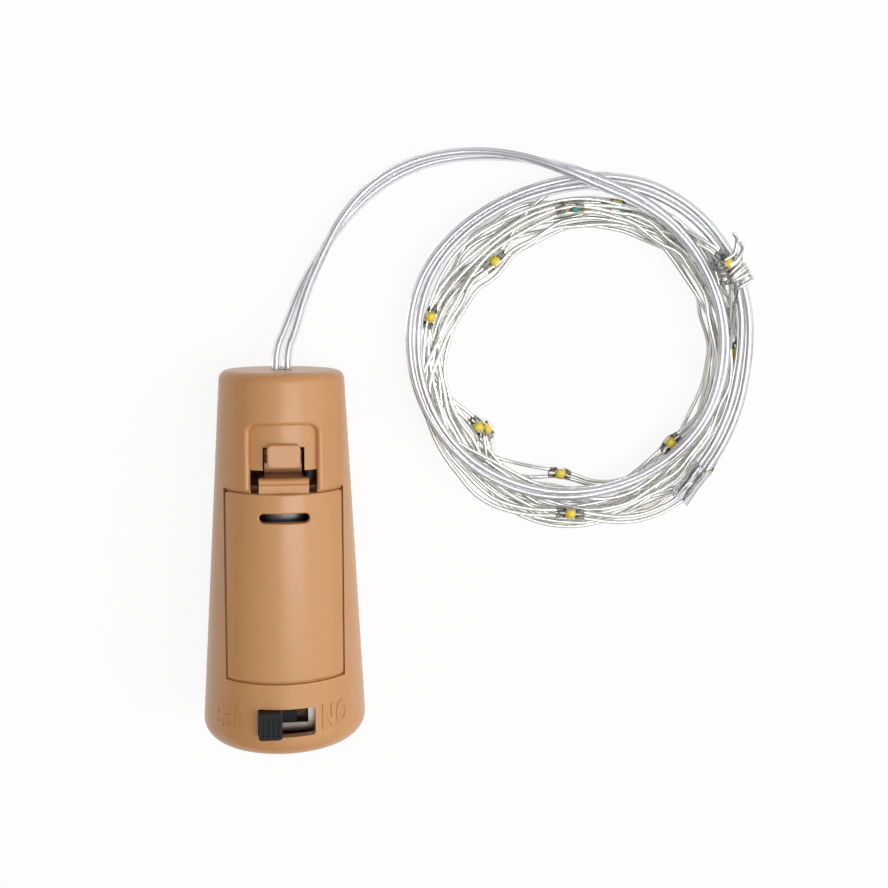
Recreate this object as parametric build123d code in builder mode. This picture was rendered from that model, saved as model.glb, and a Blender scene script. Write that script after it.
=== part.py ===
from build123d import *
import math
import os

# A cork-shaped battery stopper for a bottle neck, lying on its side, with its coil of small lights.
# +Z is up and +Y points along the table towards the stopper's small end.
# On the stopper, s runs along its axis from the fat end, x across it and h up from the axis.

# The tapered housing
fat_radius = 10.5
small_radius = 7.75
housing_length = 47.0
small_end_place = 23.87
wall = 1.2
fat_rim_radius = 2.5
small_rim_radius = 1.2

# Places along the housing from its fat end, as shares of its length
window_share = 0.0979
door_start_share = 0.2043
bay_start_share = 0.2255
bay_end_share = 0.6787
door_end_share = 0.6915
recess_floor_share = 0.7511
notch_end_share = 0.8106
recess_end_share = 0.8681

# The battery door, a slice of the housing's wall with two hinge tabs under its fat end
door_width = 14.1
door_gap = 0.25
door_latch_gap = 0.4
door_corner_radius = 0.4
door_rim_radius = 0.2
door_bevel_height = 5.0
door_bevel_length = 1.5
grip_slot_length = 6.0
grip_slot_width = 1.15
grip_slot_setback = 2.9
hinge_tab_width = 2.0
hinge_tab_spacing = 4.4
hinge_tab_reach = 1.0
hinge_tab_thickness = 0.75
hinge_tab_root = 0.85
hinge_tab_gap = 0.3

# The finger recess beyond the door, with the door's spring latch in it
recess_width = 8.0
recess_depth = 0.75
recess_corner_radius = 1.1
recess_lip_radius = 0.45
recess_floor_thickness = 1.0
rim_tolerance = 0.05
notch_width = 5.0
latch_base_width = 6.0
latch_root_length = 1.1
latch_root_depth = 1.4
latch_shoulder_drop = 1.0
latch_bar_drop = 0.55
latch_leg_thickness = 0.9
latch_leg_setback = 0.95
latch_depth = 5.0
latch_spring_gap = 1.3
latch_arm_width = 4.0
latch_arm_thickness = 1.0
latch_trough_wall = 0.5
latch_trough_width = 4.6
latch_pad_overhang = 1.9
latch_pad_thickness = 0.8
latch_pad_radius = 0.25
latch_pad_corner_radius = 0.6
latch_pad_gap = 0.12
knuckle_gap = 0.1

# The slide switch, its cap and its window
window_width = 7.0
window_height = 3.45
window_corner_radius = 0.35
cap_gap = 0.1
cap_width = 2.85
cap_rise = 1.3
cap_groove_width = 0.3
cap_groove_depth = 0.22
cap_groove_pitch = 0.6
cap_groove_length = 2.4
cap_groove_count = 4
stem_width = 1.2
stem_length = 1.4
stem_height = 0.7
slider_end_gap = 0.15
slider_width = 3.0
slider_thickness = 0.7
switch_travel = 3.4
switch_frame_length = 10.3
switch_frame_width = 4.2
switch_frame_height = 2.9
switch_frame_gap = 0.17
sheet_thickness = 0.3
frame_slot_length = 5.4
frame_slot_width = 2.1
switch_base_thickness = 0.7
switch_gap = 0.1
contact_thickness = 0.2
contact_width = 1.2
terminal_width = 0.5
terminal_thickness = 0.3
terminal_plate_length = 1.6
terminal_pitch = 2.5
terminal_tail = 0.8
terminal_hole_gap = 0.05

# The circuit board across the fat end, and the resistor on it
board_thickness = 1.0
board_start = 1.9
board_end_gap = 0.2
board_side_gap = 0.33
board_corner_radius = 0.6
rail_width = 1.0
rail_inset = 0.3
rail_setback = 0.8
rail_end_setback = 3.1
resistor_length = 2.0
resistor_width = 1.25
resistor_thickness = 0.5
resistor_end_length = 0.35
resistor_end_thickness = 0.05
resistor_inset = 0.2

# The three button cells, their bay and its contacts
cell_count = 3
cell_side_room = 1.675
cell_skin = 0.35
cell_crimp_drop = 0.3
cell_fit = 0.05
gasket_thickness = 0.4
bay_wall = 1.0
bay_wall_drop = 0.3
bay_wall_reach = 5.0
bay_gap = 0.15
spring_room = 4.1
contact_plate_width = 8.0
contact_nub_radius = 1.5
contact_nub_rise = 0.4
cradle_thickness = 1.0
cradle_depth = 1.0
board_tab_width = 3.0
board_tab_reach = 1.3
spring_wire_radius = 0.3
spring_foot_radius = 3.3
spring_tip_radius = 1.8
spring_turns = 3

# The screwless joint between the two half shells: bosses, pins and holes
boss_radius = 1.0
boss_sink = 0.2
boss_height = 2.4
pin_radius = 0.45
pin_length = 1.5
pin_gap = 0.05
fat_boss_place = 2.9
small_boss_setback = 6.0

# The two leads, the plug that grips them and the sleeve that joins them to the lights
lead_radius = 0.55
lead_half_pitch = 0.7
lead_exit_run = 2.5
lead_exit_gap = 0.1
lead_plug_setback = 1.4
lead_plug_length = 2.6
lead_plug_width = 6.0
lead_plug_height = 3.0
lead_hole_gap = 0.02
inner_lead_straight = 6.5
inner_lead_reach = 3.4
inner_lead_bend = 4.3
lead_cell_gap = 0.1
lead_height_share = 0.4375
board_lead_setback = 2.3
board_lead_run = 1.1
sleeve_length = 5.2
sleeve_width = 2.8
sleeve_thickness = 1.7
sleeve_corner_radius = 0.4
sleeve_height = 4.8
sleeve_ring_radius = 22.65
sleeve_angle = -47.6
sleeve_skew = 12.0
sleeve_run = 2.0
sleeve_lead_half_pitch = 0.65
splice_radius = 0.4

# The string of lights: two bare wires wound as a ring of four loose layers
ring_x = 40.4
ring_y = 23.9
ring_mean_radius = 20.25
string_radius = 0.275
string_half_pitch = 0.41
column_pitch = 1.64
layer_pitch = 0.97
lowest_layer = 0.36
layer_count = 4
layer_turns = 2.5
climb_turns = 0.5
settle_turns = 0.25
string_turns = 10.25
steps_per_turn = 4
sideways_wander = 0.3
oval_wander = 0.1
spread_share = 1.14
spread_swing_share = 0.13

# The lights: a flat bead of clear resin over the two wires, with a small chip in its top
bead_length = 3.6
bead_width = 1.8
bead_corner_radius = 0.8
bead_depth = 0.34
chip_length = 1.3
chip_width = 0.9
chip_thickness = 0.3
chip_gap = 0.03

# The turns, counted from the sleeve, at which the lights sit, as shares of one turn
light_turn_shares = (
    0.098, 0.823, 1.576, 2.293, 2.965, 3.757, 4.471, 5.24,
    5.962, 6.629, 7.382, 8.115, 8.846, 9.598, 10.24,
)

# The pair of leads on the table and over the coil: x, y, z and half the distance between the two
lead_route = (
    (1.1, 28.3, 6.6, 0.7),
    (2.8, 33.2, 4.6, 0.7),
    (5.3, 37.9, 2.7, 0.7),
    (8.0, 42.1, 1.4, 0.7),
    (11.4, 45.8, 0.75, 0.68),
    (15.5, 48.5, 0.6, 0.66),
    (20.3, 50.2, 0.62, 0.66),
    (26.0, 50.8, 1.2, 0.68),
    (31.0, 50.3, 3.2, 0.68),
    (35.8, 49.0, 5.6, 0.68),
    (40.7, 47.2, 6.3, 0.68),
    (46.2, 45.1, 6.15, 0.68),
    (51.7, 41.6, 5.3, 0.66),
    (56.2, 36.4, 4.6, 0.65),
    (58.9, 30.4, 4.5, 0.65),
    (59.6, 24.2, 4.5, 0.65),
    (58.4, 18.0, 4.5, 0.66),
    (55.2, 12.9, 4.5, 0.68),
    (49.9, 8.7, 4.5, 0.7),
    (43.6, 6.3, 4.5, 0.7),
    (36.6, 5.7, 4.5, 0.7),
    (29.6, 7.5, 4.5, 0.7),
    (23.7, 11.2, 4.5, 0.7),
    (19.6, 16.3, 4.5, 0.68),
    (17.3, 22.3, 4.5, 0.66),
    (16.9, 28.4, 4.5, 0.66),
    (18.0, 34.0, 4.5, 0.66),
    (20.6, 38.4, 4.5, 0.66),
    (24.6, 42.2, 4.5, 0.68),
    (29.9, 45.2, 4.5, 0.68),
    (36.5, 47.2, 4.5, 0.68),
    (42.7, 47.7, 4.5, 0.68),
    (48.9, 46.5, 4.5, 0.68),
    (55.0, 43.0, 4.5, 0.66),
    (59.8, 37.4, 4.5, 0.65),
    (62.2, 30.9, 4.5, 0.65),
    (62.45, 24.2, 4.5, 0.65),
    (61.6, 18.2, 4.55, 0.65),
    (60.0, 13.9, 4.7, 0.65),
)

# A bend in a lead takes this share of the shorter of its two runs
bend_share = 0.45
overrun = 20.0

# How a winding's arcs are drawn and measured: the least turn between two ways, and points per arc
least_bend = 1e-9
arc_point_count = 6
near_point_count = 3

os.makedirs("parts", exist_ok=True)

# The housing rests along its side, so its axis falls by half the cone's opening towards the small end
slope = (fat_radius - small_radius) / housing_length
taper = math.atan(slope)
high_y = housing_length * math.cos(taper) + (small_radius - small_rim_radius) * math.sin(taper)
housing_plane = Plane(
    origin=(0, small_end_place - high_y, fat_radius * math.cos(taper)),
    x_dir=(1, 0, 0),
    z_dir=(0, math.sin(taper), math.cos(taper)),
)
side_plane = Plane(origin=housing_plane.origin, x_dir=housing_plane.y_dir, z_dir=housing_plane.x_dir)
rear_sweep = Axis(housing_plane.origin, housing_plane.y_dir)
front_sweep = Axis(housing_plane.origin, -housing_plane.y_dir)


def inside(x, s, h):
    """The place of a point given across, along and above the housing's axis."""
    return housing_plane.from_local_coords(Vector(x, s, h))


def across(s):
    """The plane square to the axis at s, with x across and h up, facing the fat end."""
    return Plane(origin=inside(0, s, 0), x_dir=housing_plane.x_dir, z_dir=-housing_plane.y_dir)


def outer_radius(s):
    """The housing's outer radius at s."""
    return fat_radius - slope * s


def wall_slice(start, end, top_drop, bottom_drop):
    """A slice of the wall in the profile's plane, between two depths under the outer surface."""
    with BuildSketch() as piece:
        with BuildLine():
            Polyline(
                (outer_radius(start) - bottom_drop, start),
                (outer_radius(start) - top_drop, start),
                (outer_radius(end) - top_drop, end),
                (outer_radius(end) - bottom_drop, end),
                close=True,
            )
        make_face()
    return piece.sketch_local


def core_slice(depth):
    """The section from the axis out to a depth under the housing's surface."""
    with BuildSketch() as piece:
        with BuildLine():
            Polyline(
                (0, depth),
                (outer_radius(depth) - depth, depth),
                (outer_radius(housing_length - depth) - depth, housing_length - depth),
                (0, housing_length - depth),
                close=True,
            )
        make_face()
    return piece.sketch_local


def block(x_low, x_high, y_low, y_high):
    """Draw a rectangle between four named limits in the sketch that is open."""
    with Locations(((x_low + x_high) / 2, (y_low + y_high) / 2)):
        Rectangle(x_high - x_low, y_high - y_low)


def on_surface(edge):
    """Whether an edge lies on the housing's outer surface."""
    place = housing_plane.to_local_coords(edge @ 0.5)
    return abs(outer_radius(place.Y) - math.hypot(place.X, place.Z)) < rim_tolerance


def on_recess_rim(edge):
    """Whether an edge of the front shell is part of the finger recess's rim."""
    place = housing_plane.to_local_coords(edge @ 0.5)
    along_recess = door_end < place.Y < recess_end + rim_tolerance
    across_recess = abs(place.X) < recess_width / 2 + rim_tolerance
    return on_surface(edge) and along_recess and across_recess


# The layout along the housing
window_centre = housing_length * window_share
door_start = housing_length * door_start_share
door_end = housing_length * door_end_share
bay_start = housing_length * bay_start_share
bay_end = housing_length * bay_end_share
recess_floor_start = housing_length * recess_floor_share
notch_end = housing_length * notch_end_share
recess_end = housing_length * recess_end_share
small_boss_place = housing_length - small_boss_setback
door_length = door_end - door_start
board_end = bay_start - bay_wall - board_end_gap
board_length = board_end - board_start

# The button cells fill the bay, with room for the board's lead beside them
stack_start = bay_start + spring_room + sheet_thickness
stack_end = bay_end - contact_nub_rise - sheet_thickness
cell_height = (stack_end - stack_start) / cell_count
cell_radius = outer_radius(stack_end) - wall - cell_side_room

# The switch's frame reaches up to the shell, and the board hangs below it between the bosses
frame_room = outer_radius(window_centre + switch_frame_width / 2) - wall
frame_top = math.sqrt(frame_room ** 2 - (switch_frame_length / 2) ** 2) - switch_frame_gap
board_top = frame_top - switch_frame_height
board_height = board_top - board_thickness
bay_wall_top = board_top - bay_wall_drop
fat_boss_reach = outer_radius(fat_boss_place) - wall - boss_radius + boss_sink
small_boss_reach = outer_radius(small_boss_place) - wall - boss_radius + boss_sink
board_width = 2 * (fat_boss_reach - boss_radius - board_side_gap)

# The two half shells share one section: the housing's outline less its hollow
with BuildSketch() as shell_section:
    with BuildLine():
        Polyline((0, 0), (fat_radius, 0), (small_radius, housing_length), (0, housing_length), close=True)
    make_face()
    fillet(shell_section.vertices().group_by(Axis.Y)[-1].sort_by(Axis.X)[-1], small_rim_radius)
    fillet(shell_section.vertices().group_by(Axis.Y)[0].sort_by(Axis.X)[-1], fat_rim_radius)
    with BuildSketch(mode=Mode.SUBTRACT) as hollow:
        add(core_slice(wall))
        fillet(hollow.vertices().sort_by(Axis.X)[-1], fat_rim_radius - wall)

# The front shell: door opening, finger recess with a floor and a notch, switch window
opening_half = door_width / 2 + door_gap
recess_floor_drop = recess_depth + recess_floor_thickness
boss_places = (
    (fat_boss_reach, fat_boss_place),
    (-fat_boss_reach, fat_boss_place),
    (small_boss_reach, small_boss_place),
    (-small_boss_reach, small_boss_place),
)

with BuildPart() as recess_floor:
    floor_margin = recess_floor_thickness
    with BuildSketch(housing_plane):
        add(wall_slice(recess_floor_start, recess_end + floor_margin, wall / 2, recess_floor_drop))
    revolve(axis=front_sweep, revolution_arc=180)
    with BuildSketch(housing_plane):
        floor_half = recess_width / 2 + floor_margin
        block(-floor_half, floor_half, recess_floor_start, recess_end + floor_margin)
    extrude(amount=overrun, mode=Mode.INTERSECT)

with BuildPart() as recess_pocket:
    pocket_start = door_end - 2 * recess_corner_radius
    with BuildSketch(housing_plane):
        add(wall_slice(pocket_start, recess_end, -overrun, recess_depth))
    revolve(axis=front_sweep, revolution_arc=180)
    with BuildSketch(housing_plane):
        with Locations((0, (pocket_start + recess_end) / 2)):
            RectangleRounded(recess_width, recess_end - pocket_start, recess_corner_radius)
    extrude(amount=overrun, mode=Mode.INTERSECT)

with BuildPart() as front_shell:
    with BuildSketch(housing_plane):
        add(shell_section.sketch_local)
    revolve(axis=front_sweep, revolution_arc=180)
    add(recess_floor.part)
    add(recess_pocket.part, mode=Mode.SUBTRACT)
    fillet(front_shell.edges().filter_by(on_recess_rim), recess_lip_radius)
    with BuildSketch(housing_plane):
        block(-opening_half, opening_half, door_start - door_gap, door_end + door_latch_gap)
        block(-recess_width / 2, recess_width / 2, door_end, recess_floor_start)
        block(-notch_width / 2, notch_width / 2, door_end, notch_end)
    extrude(amount=overrun, mode=Mode.SUBTRACT)
    with BuildSketch(housing_plane):
        with Locations((0, window_centre)):
            RectangleRounded(window_width, window_height, window_corner_radius)
    extrude(amount=overrun, mode=Mode.SUBTRACT)
    with BuildSketch(across(housing_length)):
        SlotCenterToCenter(2 * lead_half_pitch, 2 * (lead_radius + lead_exit_gap))
    extrude(amount=2 * wall, mode=Mode.SUBTRACT)
    with BuildSketch(housing_plane):
        with Locations(*boss_places):
            Circle(boss_radius)
    extrude(amount=boss_height)
    with BuildSketch(housing_plane):
        with Locations(*boss_places):
            Circle(pin_radius)
    extrude(amount=-pin_length)
front_shell.part.label = "front_shell"
export_step(front_shell.part, "parts/front_shell.step")

# The rear shell: sockets for the pins, board rails, bay walls, cell cradles and the lead plug's seat
plug_start = housing_length - lead_plug_setback - lead_plug_length
rail_outer = board_width / 2 - rail_inset
rail_start = board_start + rail_setback
rail_end = board_end - rail_end_setback

with BuildPart() as rear_fittings:
    for wall_start in (bay_start - bay_wall, bay_end):
        with BuildSketch(across(wall_start)):
            block(-fat_radius, fat_radius, -fat_radius, 0)
            block(-bay_wall_reach, bay_wall_reach, 0, bay_wall_top)
        extrude(amount=-bay_wall)
    with BuildSketch(across(bay_end)):
        with Locations((inner_lead_reach, 0)):
            Circle(lead_radius + lead_exit_gap)
    extrude(amount=-bay_wall, mode=Mode.SUBTRACT)
    for cell_number in range(cell_count):
        with BuildSketch(across(stack_start + (cell_number + 1 / 2) * cell_height)):
            block(-fat_radius, fat_radius, -fat_radius, -cradle_depth)
            Circle(cell_radius + bay_gap, mode=Mode.SUBTRACT)
        extrude(amount=cradle_thickness / 2, both=True)
    with BuildSketch(across(plug_start)):
        block(-lead_plug_width / 2, lead_plug_width / 2, -fat_radius, -lead_plug_height / 2)
    extrude(amount=-lead_plug_length)
    with BuildSketch(housing_plane.offset(board_height)):
        block(rail_outer - rail_width, rail_outer, rail_start, rail_end)
        block(-rail_outer, rail_width - rail_outer, rail_start, rail_end)
    extrude(amount=-board_height - fat_radius)
    with BuildSketch(housing_plane):
        with Locations(*boss_places):
            Circle(boss_radius)
    extrude(amount=-boss_height)
    with BuildSketch(housing_plane):
        add(core_slice(wall / 2))
    revolve(axis=rear_sweep, mode=Mode.INTERSECT)

with BuildPart() as rear_shell:
    with BuildSketch(housing_plane):
        add(shell_section.sketch_local)
    revolve(axis=rear_sweep, revolution_arc=180)
    add(rear_fittings.part)
    with BuildSketch(across(housing_length)):
        SlotCenterToCenter(2 * lead_half_pitch, 2 * (lead_radius + lead_exit_gap))
    extrude(amount=2 * wall, mode=Mode.SUBTRACT)
    with BuildSketch(housing_plane):
        with Locations(*boss_places):
            Circle(pin_radius + pin_gap)
    extrude(amount=-pin_length - pin_radius, mode=Mode.SUBTRACT)
rear_shell.part.label = "rear_shell"
export_step(rear_shell.part, "parts/rear_shell.step")

# The door, with the fixed half of its spring latch: root, bar, leg and the trough at the bend
tab_reach = hinge_tab_spacing / 2 + hinge_tab_width / 2
tab_tip = door_start - hinge_tab_reach
tab_top = math.sqrt((outer_radius(tab_tip) - wall) ** 2 - tab_reach ** 2) - hinge_tab_gap
tab_root_start = door_start + door_gap
tab_root_end = tab_root_start + hinge_tab_root
tab_root_top = outer_radius(door_start) - wall * 3 / 4
bar_end = door_end + latch_leg_setback + latch_leg_thickness
bar_start = bar_end - latch_leg_thickness
bar_top = outer_radius(bar_end) - latch_bar_drop
shoulder_top = outer_radius(bar_start) - latch_shoulder_drop
foot_radius = latch_arm_thickness / 2
foot_place = bar_end + latch_spring_gap + foot_radius
foot_height = bar_top - latch_depth
trough_radius = foot_radius + knuckle_gap
trough_outer = trough_radius + latch_trough_wall
latch_root_top = outer_radius(door_end) - wall / 2

with BuildPart() as battery_door:
    with BuildSketch(housing_plane):
        add(wall_slice(door_start, door_end, 0, wall))
    revolve(axis=front_sweep, revolution_arc=180)
    with BuildSketch(housing_plane):
        with Locations((0, door_start + door_length / 2)):
            RectangleRounded(door_width, door_length, door_corner_radius)
    extrude(amount=overrun, mode=Mode.INTERSECT)
    with BuildSketch(side_plane):
        with BuildLine():
            Polyline(
                (door_end, door_bevel_height),
                (door_end, 0),
                (door_end - door_bevel_length, 0),
                close=True,
            )
        make_face()
    extrude(amount=door_width, both=True, mode=Mode.SUBTRACT)
    with BuildSketch(housing_plane):
        with Locations((0, door_end - grip_slot_setback)):
            SlotOverall(grip_slot_length, grip_slot_width)
    extrude(amount=overrun, mode=Mode.SUBTRACT)
    fillet(battery_door.edges().filter_by(on_surface), door_rim_radius)
    for tab_side in (-1, 1):
        tab_middle = tab_side * hinge_tab_spacing / 2
        with BuildSketch(side_plane.offset(tab_middle)):
            block(tab_tip, tab_root_end, tab_top - hinge_tab_thickness, tab_top)
            block(tab_root_start, tab_root_end, tab_top, tab_root_top)
        extrude(amount=hinge_tab_width / 2, both=True)
    with BuildSketch(side_plane):
        block(door_end - latch_root_length, bar_end, shoulder_top - latch_root_depth, shoulder_top)
        block(door_end - latch_root_length, door_end - door_gap, shoulder_top, latch_root_top)
        block(bar_start, bar_end, shoulder_top, bar_top - latch_leg_thickness / 2)
        with Locations(((bar_start + bar_end) / 2, bar_top - latch_leg_thickness / 2)):
            Circle(latch_leg_thickness / 2)
    extrude(amount=latch_base_width / 2, both=True)
    with BuildSketch(side_plane):
        block(bar_start, bar_end, foot_height - trough_outer, shoulder_top)
        block(bar_start, foot_place, foot_height - trough_outer, foot_height - trough_radius)
        with Locations((foot_place, foot_height)):
            Circle(trough_outer)
            Circle(trough_radius, mode=Mode.SUBTRACT)
        with Locations((foot_place, foot_height + trough_outer / 2)):
            Rectangle(2 * trough_outer, trough_outer, mode=Mode.SUBTRACT)
    extrude(amount=latch_trough_width / 2, both=True)
battery_door.part.label = "battery_door"
export_step(battery_door.part, "parts/battery_door.step")

# The latch's free arm: a foot in the trough, a leg up through the notch and a finger pad
pad_start = foot_place - foot_radius
pad_end = foot_place + foot_radius + latch_pad_overhang
pad_bottom = outer_radius(notch_end) - recess_depth + latch_pad_gap

with BuildPart() as door_latch:
    with BuildSketch(housing_plane.offset(pad_bottom)):
        with Locations((0, (pad_start + pad_end) / 2)):
            RectangleRounded(latch_arm_width, pad_end - pad_start, latch_pad_corner_radius)
    extrude(amount=latch_pad_thickness)
    fillet(door_latch.faces().sort_by(Axis.Z)[-1].edges(), latch_pad_radius)
    with BuildSketch(side_plane):
        with Locations((foot_place, foot_height)):
            Circle(foot_radius)
        block(pad_start, foot_place + foot_radius, foot_height, pad_bottom)
    extrude(amount=latch_arm_width / 2, both=True)
door_latch.part.label = "door_latch"
export_step(door_latch.part, "parts/door_latch.step")

# The slide switch, from the board up: base, terminals, contact, slider with its cap, metal frame
base_top = board_top + switch_base_thickness
terminal_top = base_top + contact_thickness
slider_top = frame_top - sheet_thickness - switch_gap
slider_bottom = slider_top - slider_thickness
slider_length = switch_frame_length - 2 * (sheet_thickness + slider_end_gap) - switch_travel
stem_top = slider_top + stem_height
slider_x = -switch_travel / 2
cap_x = (cap_width - window_width) / 2 + cap_gap
cap_height = window_height - 2 * cap_gap
cap_top = math.sqrt(outer_radius(window_centre) ** 2 - cap_x ** 2) + cap_rise
terminal_places = [(index * terminal_pitch, window_centre) for index in (-1, 0, 1)]
frame_skirt = switch_frame_length / 2 - sheet_thickness

with BuildPart() as switch_base:
    with BuildSketch(housing_plane.offset(board_top)):
        with Locations((0, window_centre)):
            base_margin = 2 * (sheet_thickness + switch_gap)
            Rectangle(switch_frame_length - base_margin, switch_frame_width - base_margin)
        with Locations(*terminal_places):
            pin_hole = 2 * terminal_hole_gap
            Rectangle(terminal_width + pin_hole, terminal_thickness + pin_hole, mode=Mode.SUBTRACT)
    extrude(amount=switch_base_thickness)
switch_base.part.label = "switch_base"
export_step(switch_base.part, "parts/switch_base.step")

with BuildPart() as switch_terminals:
    with BuildSketch(housing_plane.offset(base_top)):
        with Locations(*terminal_places):
            Rectangle(terminal_plate_length, stem_width)
    extrude(amount=contact_thickness)
    with BuildSketch(housing_plane.offset(base_top)):
        with Locations(*terminal_places):
            Rectangle(terminal_width, terminal_thickness)
    extrude(amount=-switch_base_thickness - board_thickness - terminal_tail)
switch_terminals.part.label = "switch_terminals"
export_step(switch_terminals.part, "parts/switch_terminals.step")

with BuildPart() as switch_contact:
    bridge_half = (terminal_pitch + contact_width) / 2
    bridge_bottom = slider_bottom - contact_thickness
    with BuildSketch(across(window_centre)):
        block(slider_x - bridge_half, slider_x + bridge_half, bridge_bottom, slider_bottom)
        for bridge_side in (-1, 1):
            bridge_x = slider_x + bridge_side * terminal_pitch / 2
            half = contact_width / 4
            block(bridge_x - half, bridge_x + half, terminal_top + switch_gap, slider_bottom)
    extrude(amount=contact_width / 2, both=True)
switch_contact.part.label = "switch_contact"
export_step(switch_contact.part, "parts/switch_contact.step")

with BuildPart() as switch_knob:
    with BuildSketch(housing_plane.offset(slider_bottom)):
        with Locations((slider_x, window_centre)):
            Rectangle(slider_length, slider_width)
    extrude(amount=slider_thickness)
    with BuildSketch(housing_plane.offset(slider_top)):
        with Locations((cap_x, window_centre)):
            Rectangle(stem_width, stem_length)
    extrude(amount=stem_height)
    with BuildSketch(housing_plane.offset(stem_top)):
        with Locations((cap_x, window_centre)):
            RectangleRounded(cap_width, cap_height, window_corner_radius)
    extrude(amount=cap_top - stem_top)
    with BuildSketch(housing_plane.offset(cap_top)):
        with Locations((cap_x, window_centre)):
            with GridLocations(cap_groove_pitch, 0, cap_groove_count, 1):
                Rectangle(cap_groove_width, cap_groove_length)
    extrude(amount=-cap_groove_depth, mode=Mode.SUBTRACT)
switch_knob.part.label = "switch_knob"
export_step(switch_knob.part, "parts/switch_knob.step")

with BuildPart() as switch_frame:
    with BuildSketch(housing_plane.offset(board_top)):
        with Locations((0, window_centre)):
            Rectangle(switch_frame_length, switch_frame_width)
    extrude(amount=switch_frame_height)
    with BuildSketch(housing_plane.offset(board_top)):
        with Locations((0, window_centre)):
            Rectangle(2 * frame_skirt, switch_frame_width - 2 * sheet_thickness)
    extrude(amount=switch_frame_height - sheet_thickness, mode=Mode.SUBTRACT)
    with BuildSketch(housing_plane.offset(frame_top)):
        with Locations((0, window_centre)):
            Rectangle(frame_slot_length, frame_slot_width)
    extrude(amount=-2 * sheet_thickness, mode=Mode.SUBTRACT)
switch_frame.part.label = "switch_frame"
export_step(switch_frame.part, "parts/switch_frame.step")

# The circuit board on the rear shell's rails, with the terminals through it, and its resistor
with BuildPart() as circuit_board:
    with BuildSketch(housing_plane.offset(board_height)):
        with Locations((0, board_start + board_length / 2)):
            RectangleRounded(board_width, board_length, board_corner_radius)
        with Locations(*terminal_places):
            Rectangle(terminal_width + pin_hole, terminal_thickness + pin_hole, mode=Mode.SUBTRACT)
    extrude(amount=board_thickness)
circuit_board.part.label = "circuit_board"
export_step(circuit_board.part, "parts/circuit_board.step")

with BuildPart() as resistor:
    resistor_x = (switch_frame_length - resistor_length) / 2
    resistor_s = board_end - resistor_width / 2 - resistor_inset
    end_reach = (resistor_length - resistor_end_length) / 2
    with BuildSketch(housing_plane.offset(board_top)):
        with Locations((resistor_x, resistor_s)):
            Rectangle(resistor_length, resistor_width)
    extrude(amount=resistor_thickness)
    with BuildSketch(housing_plane.offset(board_top)):
        with Locations((resistor_x - end_reach, resistor_s), (resistor_x + end_reach, resistor_s)):
            Rectangle(resistor_end_length, resistor_width)
    extrude(amount=resistor_thickness + resistor_end_thickness)
resistor.part.label = "resistor"
export_step(resistor.part, "parts/resistor.step")

# The button cells, each a steel can, a gasket and a cap that faces the spring
gasket_outer = cell_radius - cell_skin - cell_fit
cap_radius = gasket_outer - gasket_thickness - cell_fit
for cell_number in range(cell_count):
    cell_start = stack_start + cell_number * cell_height
    cell_end = cell_start + cell_height
    can_floor = cell_end - cell_skin
    cell_name = f"_{cell_number + 1}"

    with BuildPart() as cell_can:
        with BuildSketch(across(cell_end)):
            Circle(cell_radius)
        extrude(amount=cell_height - cell_crimp_drop)
        with BuildSketch(across(can_floor)):
            Circle(cell_radius - cell_skin)
        extrude(amount=cell_height, mode=Mode.SUBTRACT)
    cell_can.part.label = "cell_can" + cell_name
    export_step(cell_can.part, "parts/cell_can" + cell_name + ".step")

    with BuildPart() as cell_gasket:
        with BuildSketch(across(can_floor)):
            Circle(gasket_outer)
            Circle(gasket_outer - gasket_thickness, mode=Mode.SUBTRACT)
        extrude(amount=cell_height - cell_skin - cell_crimp_drop / 2)
    cell_gasket.part.label = "cell_gasket" + cell_name
    export_step(cell_gasket.part, "parts/cell_gasket" + cell_name + ".step")

    with BuildPart() as cell_cap:
        with BuildSketch(across(can_floor)):
            Circle(cap_radius)
        extrude(amount=cell_height - cell_skin)
    cell_cap.part.label = "cell_cap" + cell_name
    export_step(cell_cap.part, "parts/cell_cap" + cell_name + ".step")

# The bay's contacts: the spring's plate with its tab on the board, and the plate at the small end
with BuildPart() as spring_plate:
    with BuildSketch(across(bay_start)):
        plate_half = contact_plate_width / 2
        block(-plate_half, plate_half, -plate_half, bay_wall_top)
        block(-board_tab_width / 2, board_tab_width / 2, 0, board_top + sheet_thickness)
    extrude(amount=-sheet_thickness)
    with BuildSketch(housing_plane.offset(board_top)):
        tab_start = board_end - board_tab_reach
        block(-board_tab_width / 2, board_tab_width / 2, tab_start, bay_start + sheet_thickness)
    extrude(amount=sheet_thickness)
spring_plate.part.label = "spring_plate"
export_step(spring_plate.part, "parts/spring_plate.step")

with BuildPart() as positive_plate:
    with BuildSketch(across(bay_end)):
        Rectangle(contact_plate_width, contact_plate_width)
    extrude(amount=sheet_thickness)
    with BuildSketch(across(bay_end - sheet_thickness)):
        Circle(contact_nub_radius)
    extrude(amount=contact_nub_rise)
positive_plate.part.label = "positive_plate"
export_step(positive_plate.part, "parts/positive_plate.step")


def biarc(start, start_way, end, end_way):
    """Draw two arcs from start to end in the open line, leaving and arriving along the given ways."""
    span = end - start
    ways = start_way + end_way
    bend = 2 * (1 - start_way.dot(end_way))
    reach = span.dot(ways)
    if bend < least_bend:
        arm = span.dot(span) / (2 * reach)
    else:
        arm = (math.sqrt(reach ** 2 + bend * span.dot(span)) - reach) / bend
    start_corner = start + start_way * arm
    end_corner = end - end_way * arm
    joint = (start_corner + end_corner) / 2
    TangentArc(start, joint, tangent=start_way)
    TangentArc(joint, end, tangent=end_corner - start_corner)


def way_at(place, turn):
    """The unit direction of travel along a winding, given as a function of the turn."""
    step = 1 / 100
    return (place(turn + step) - place(turn - step)).normalized()


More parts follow.
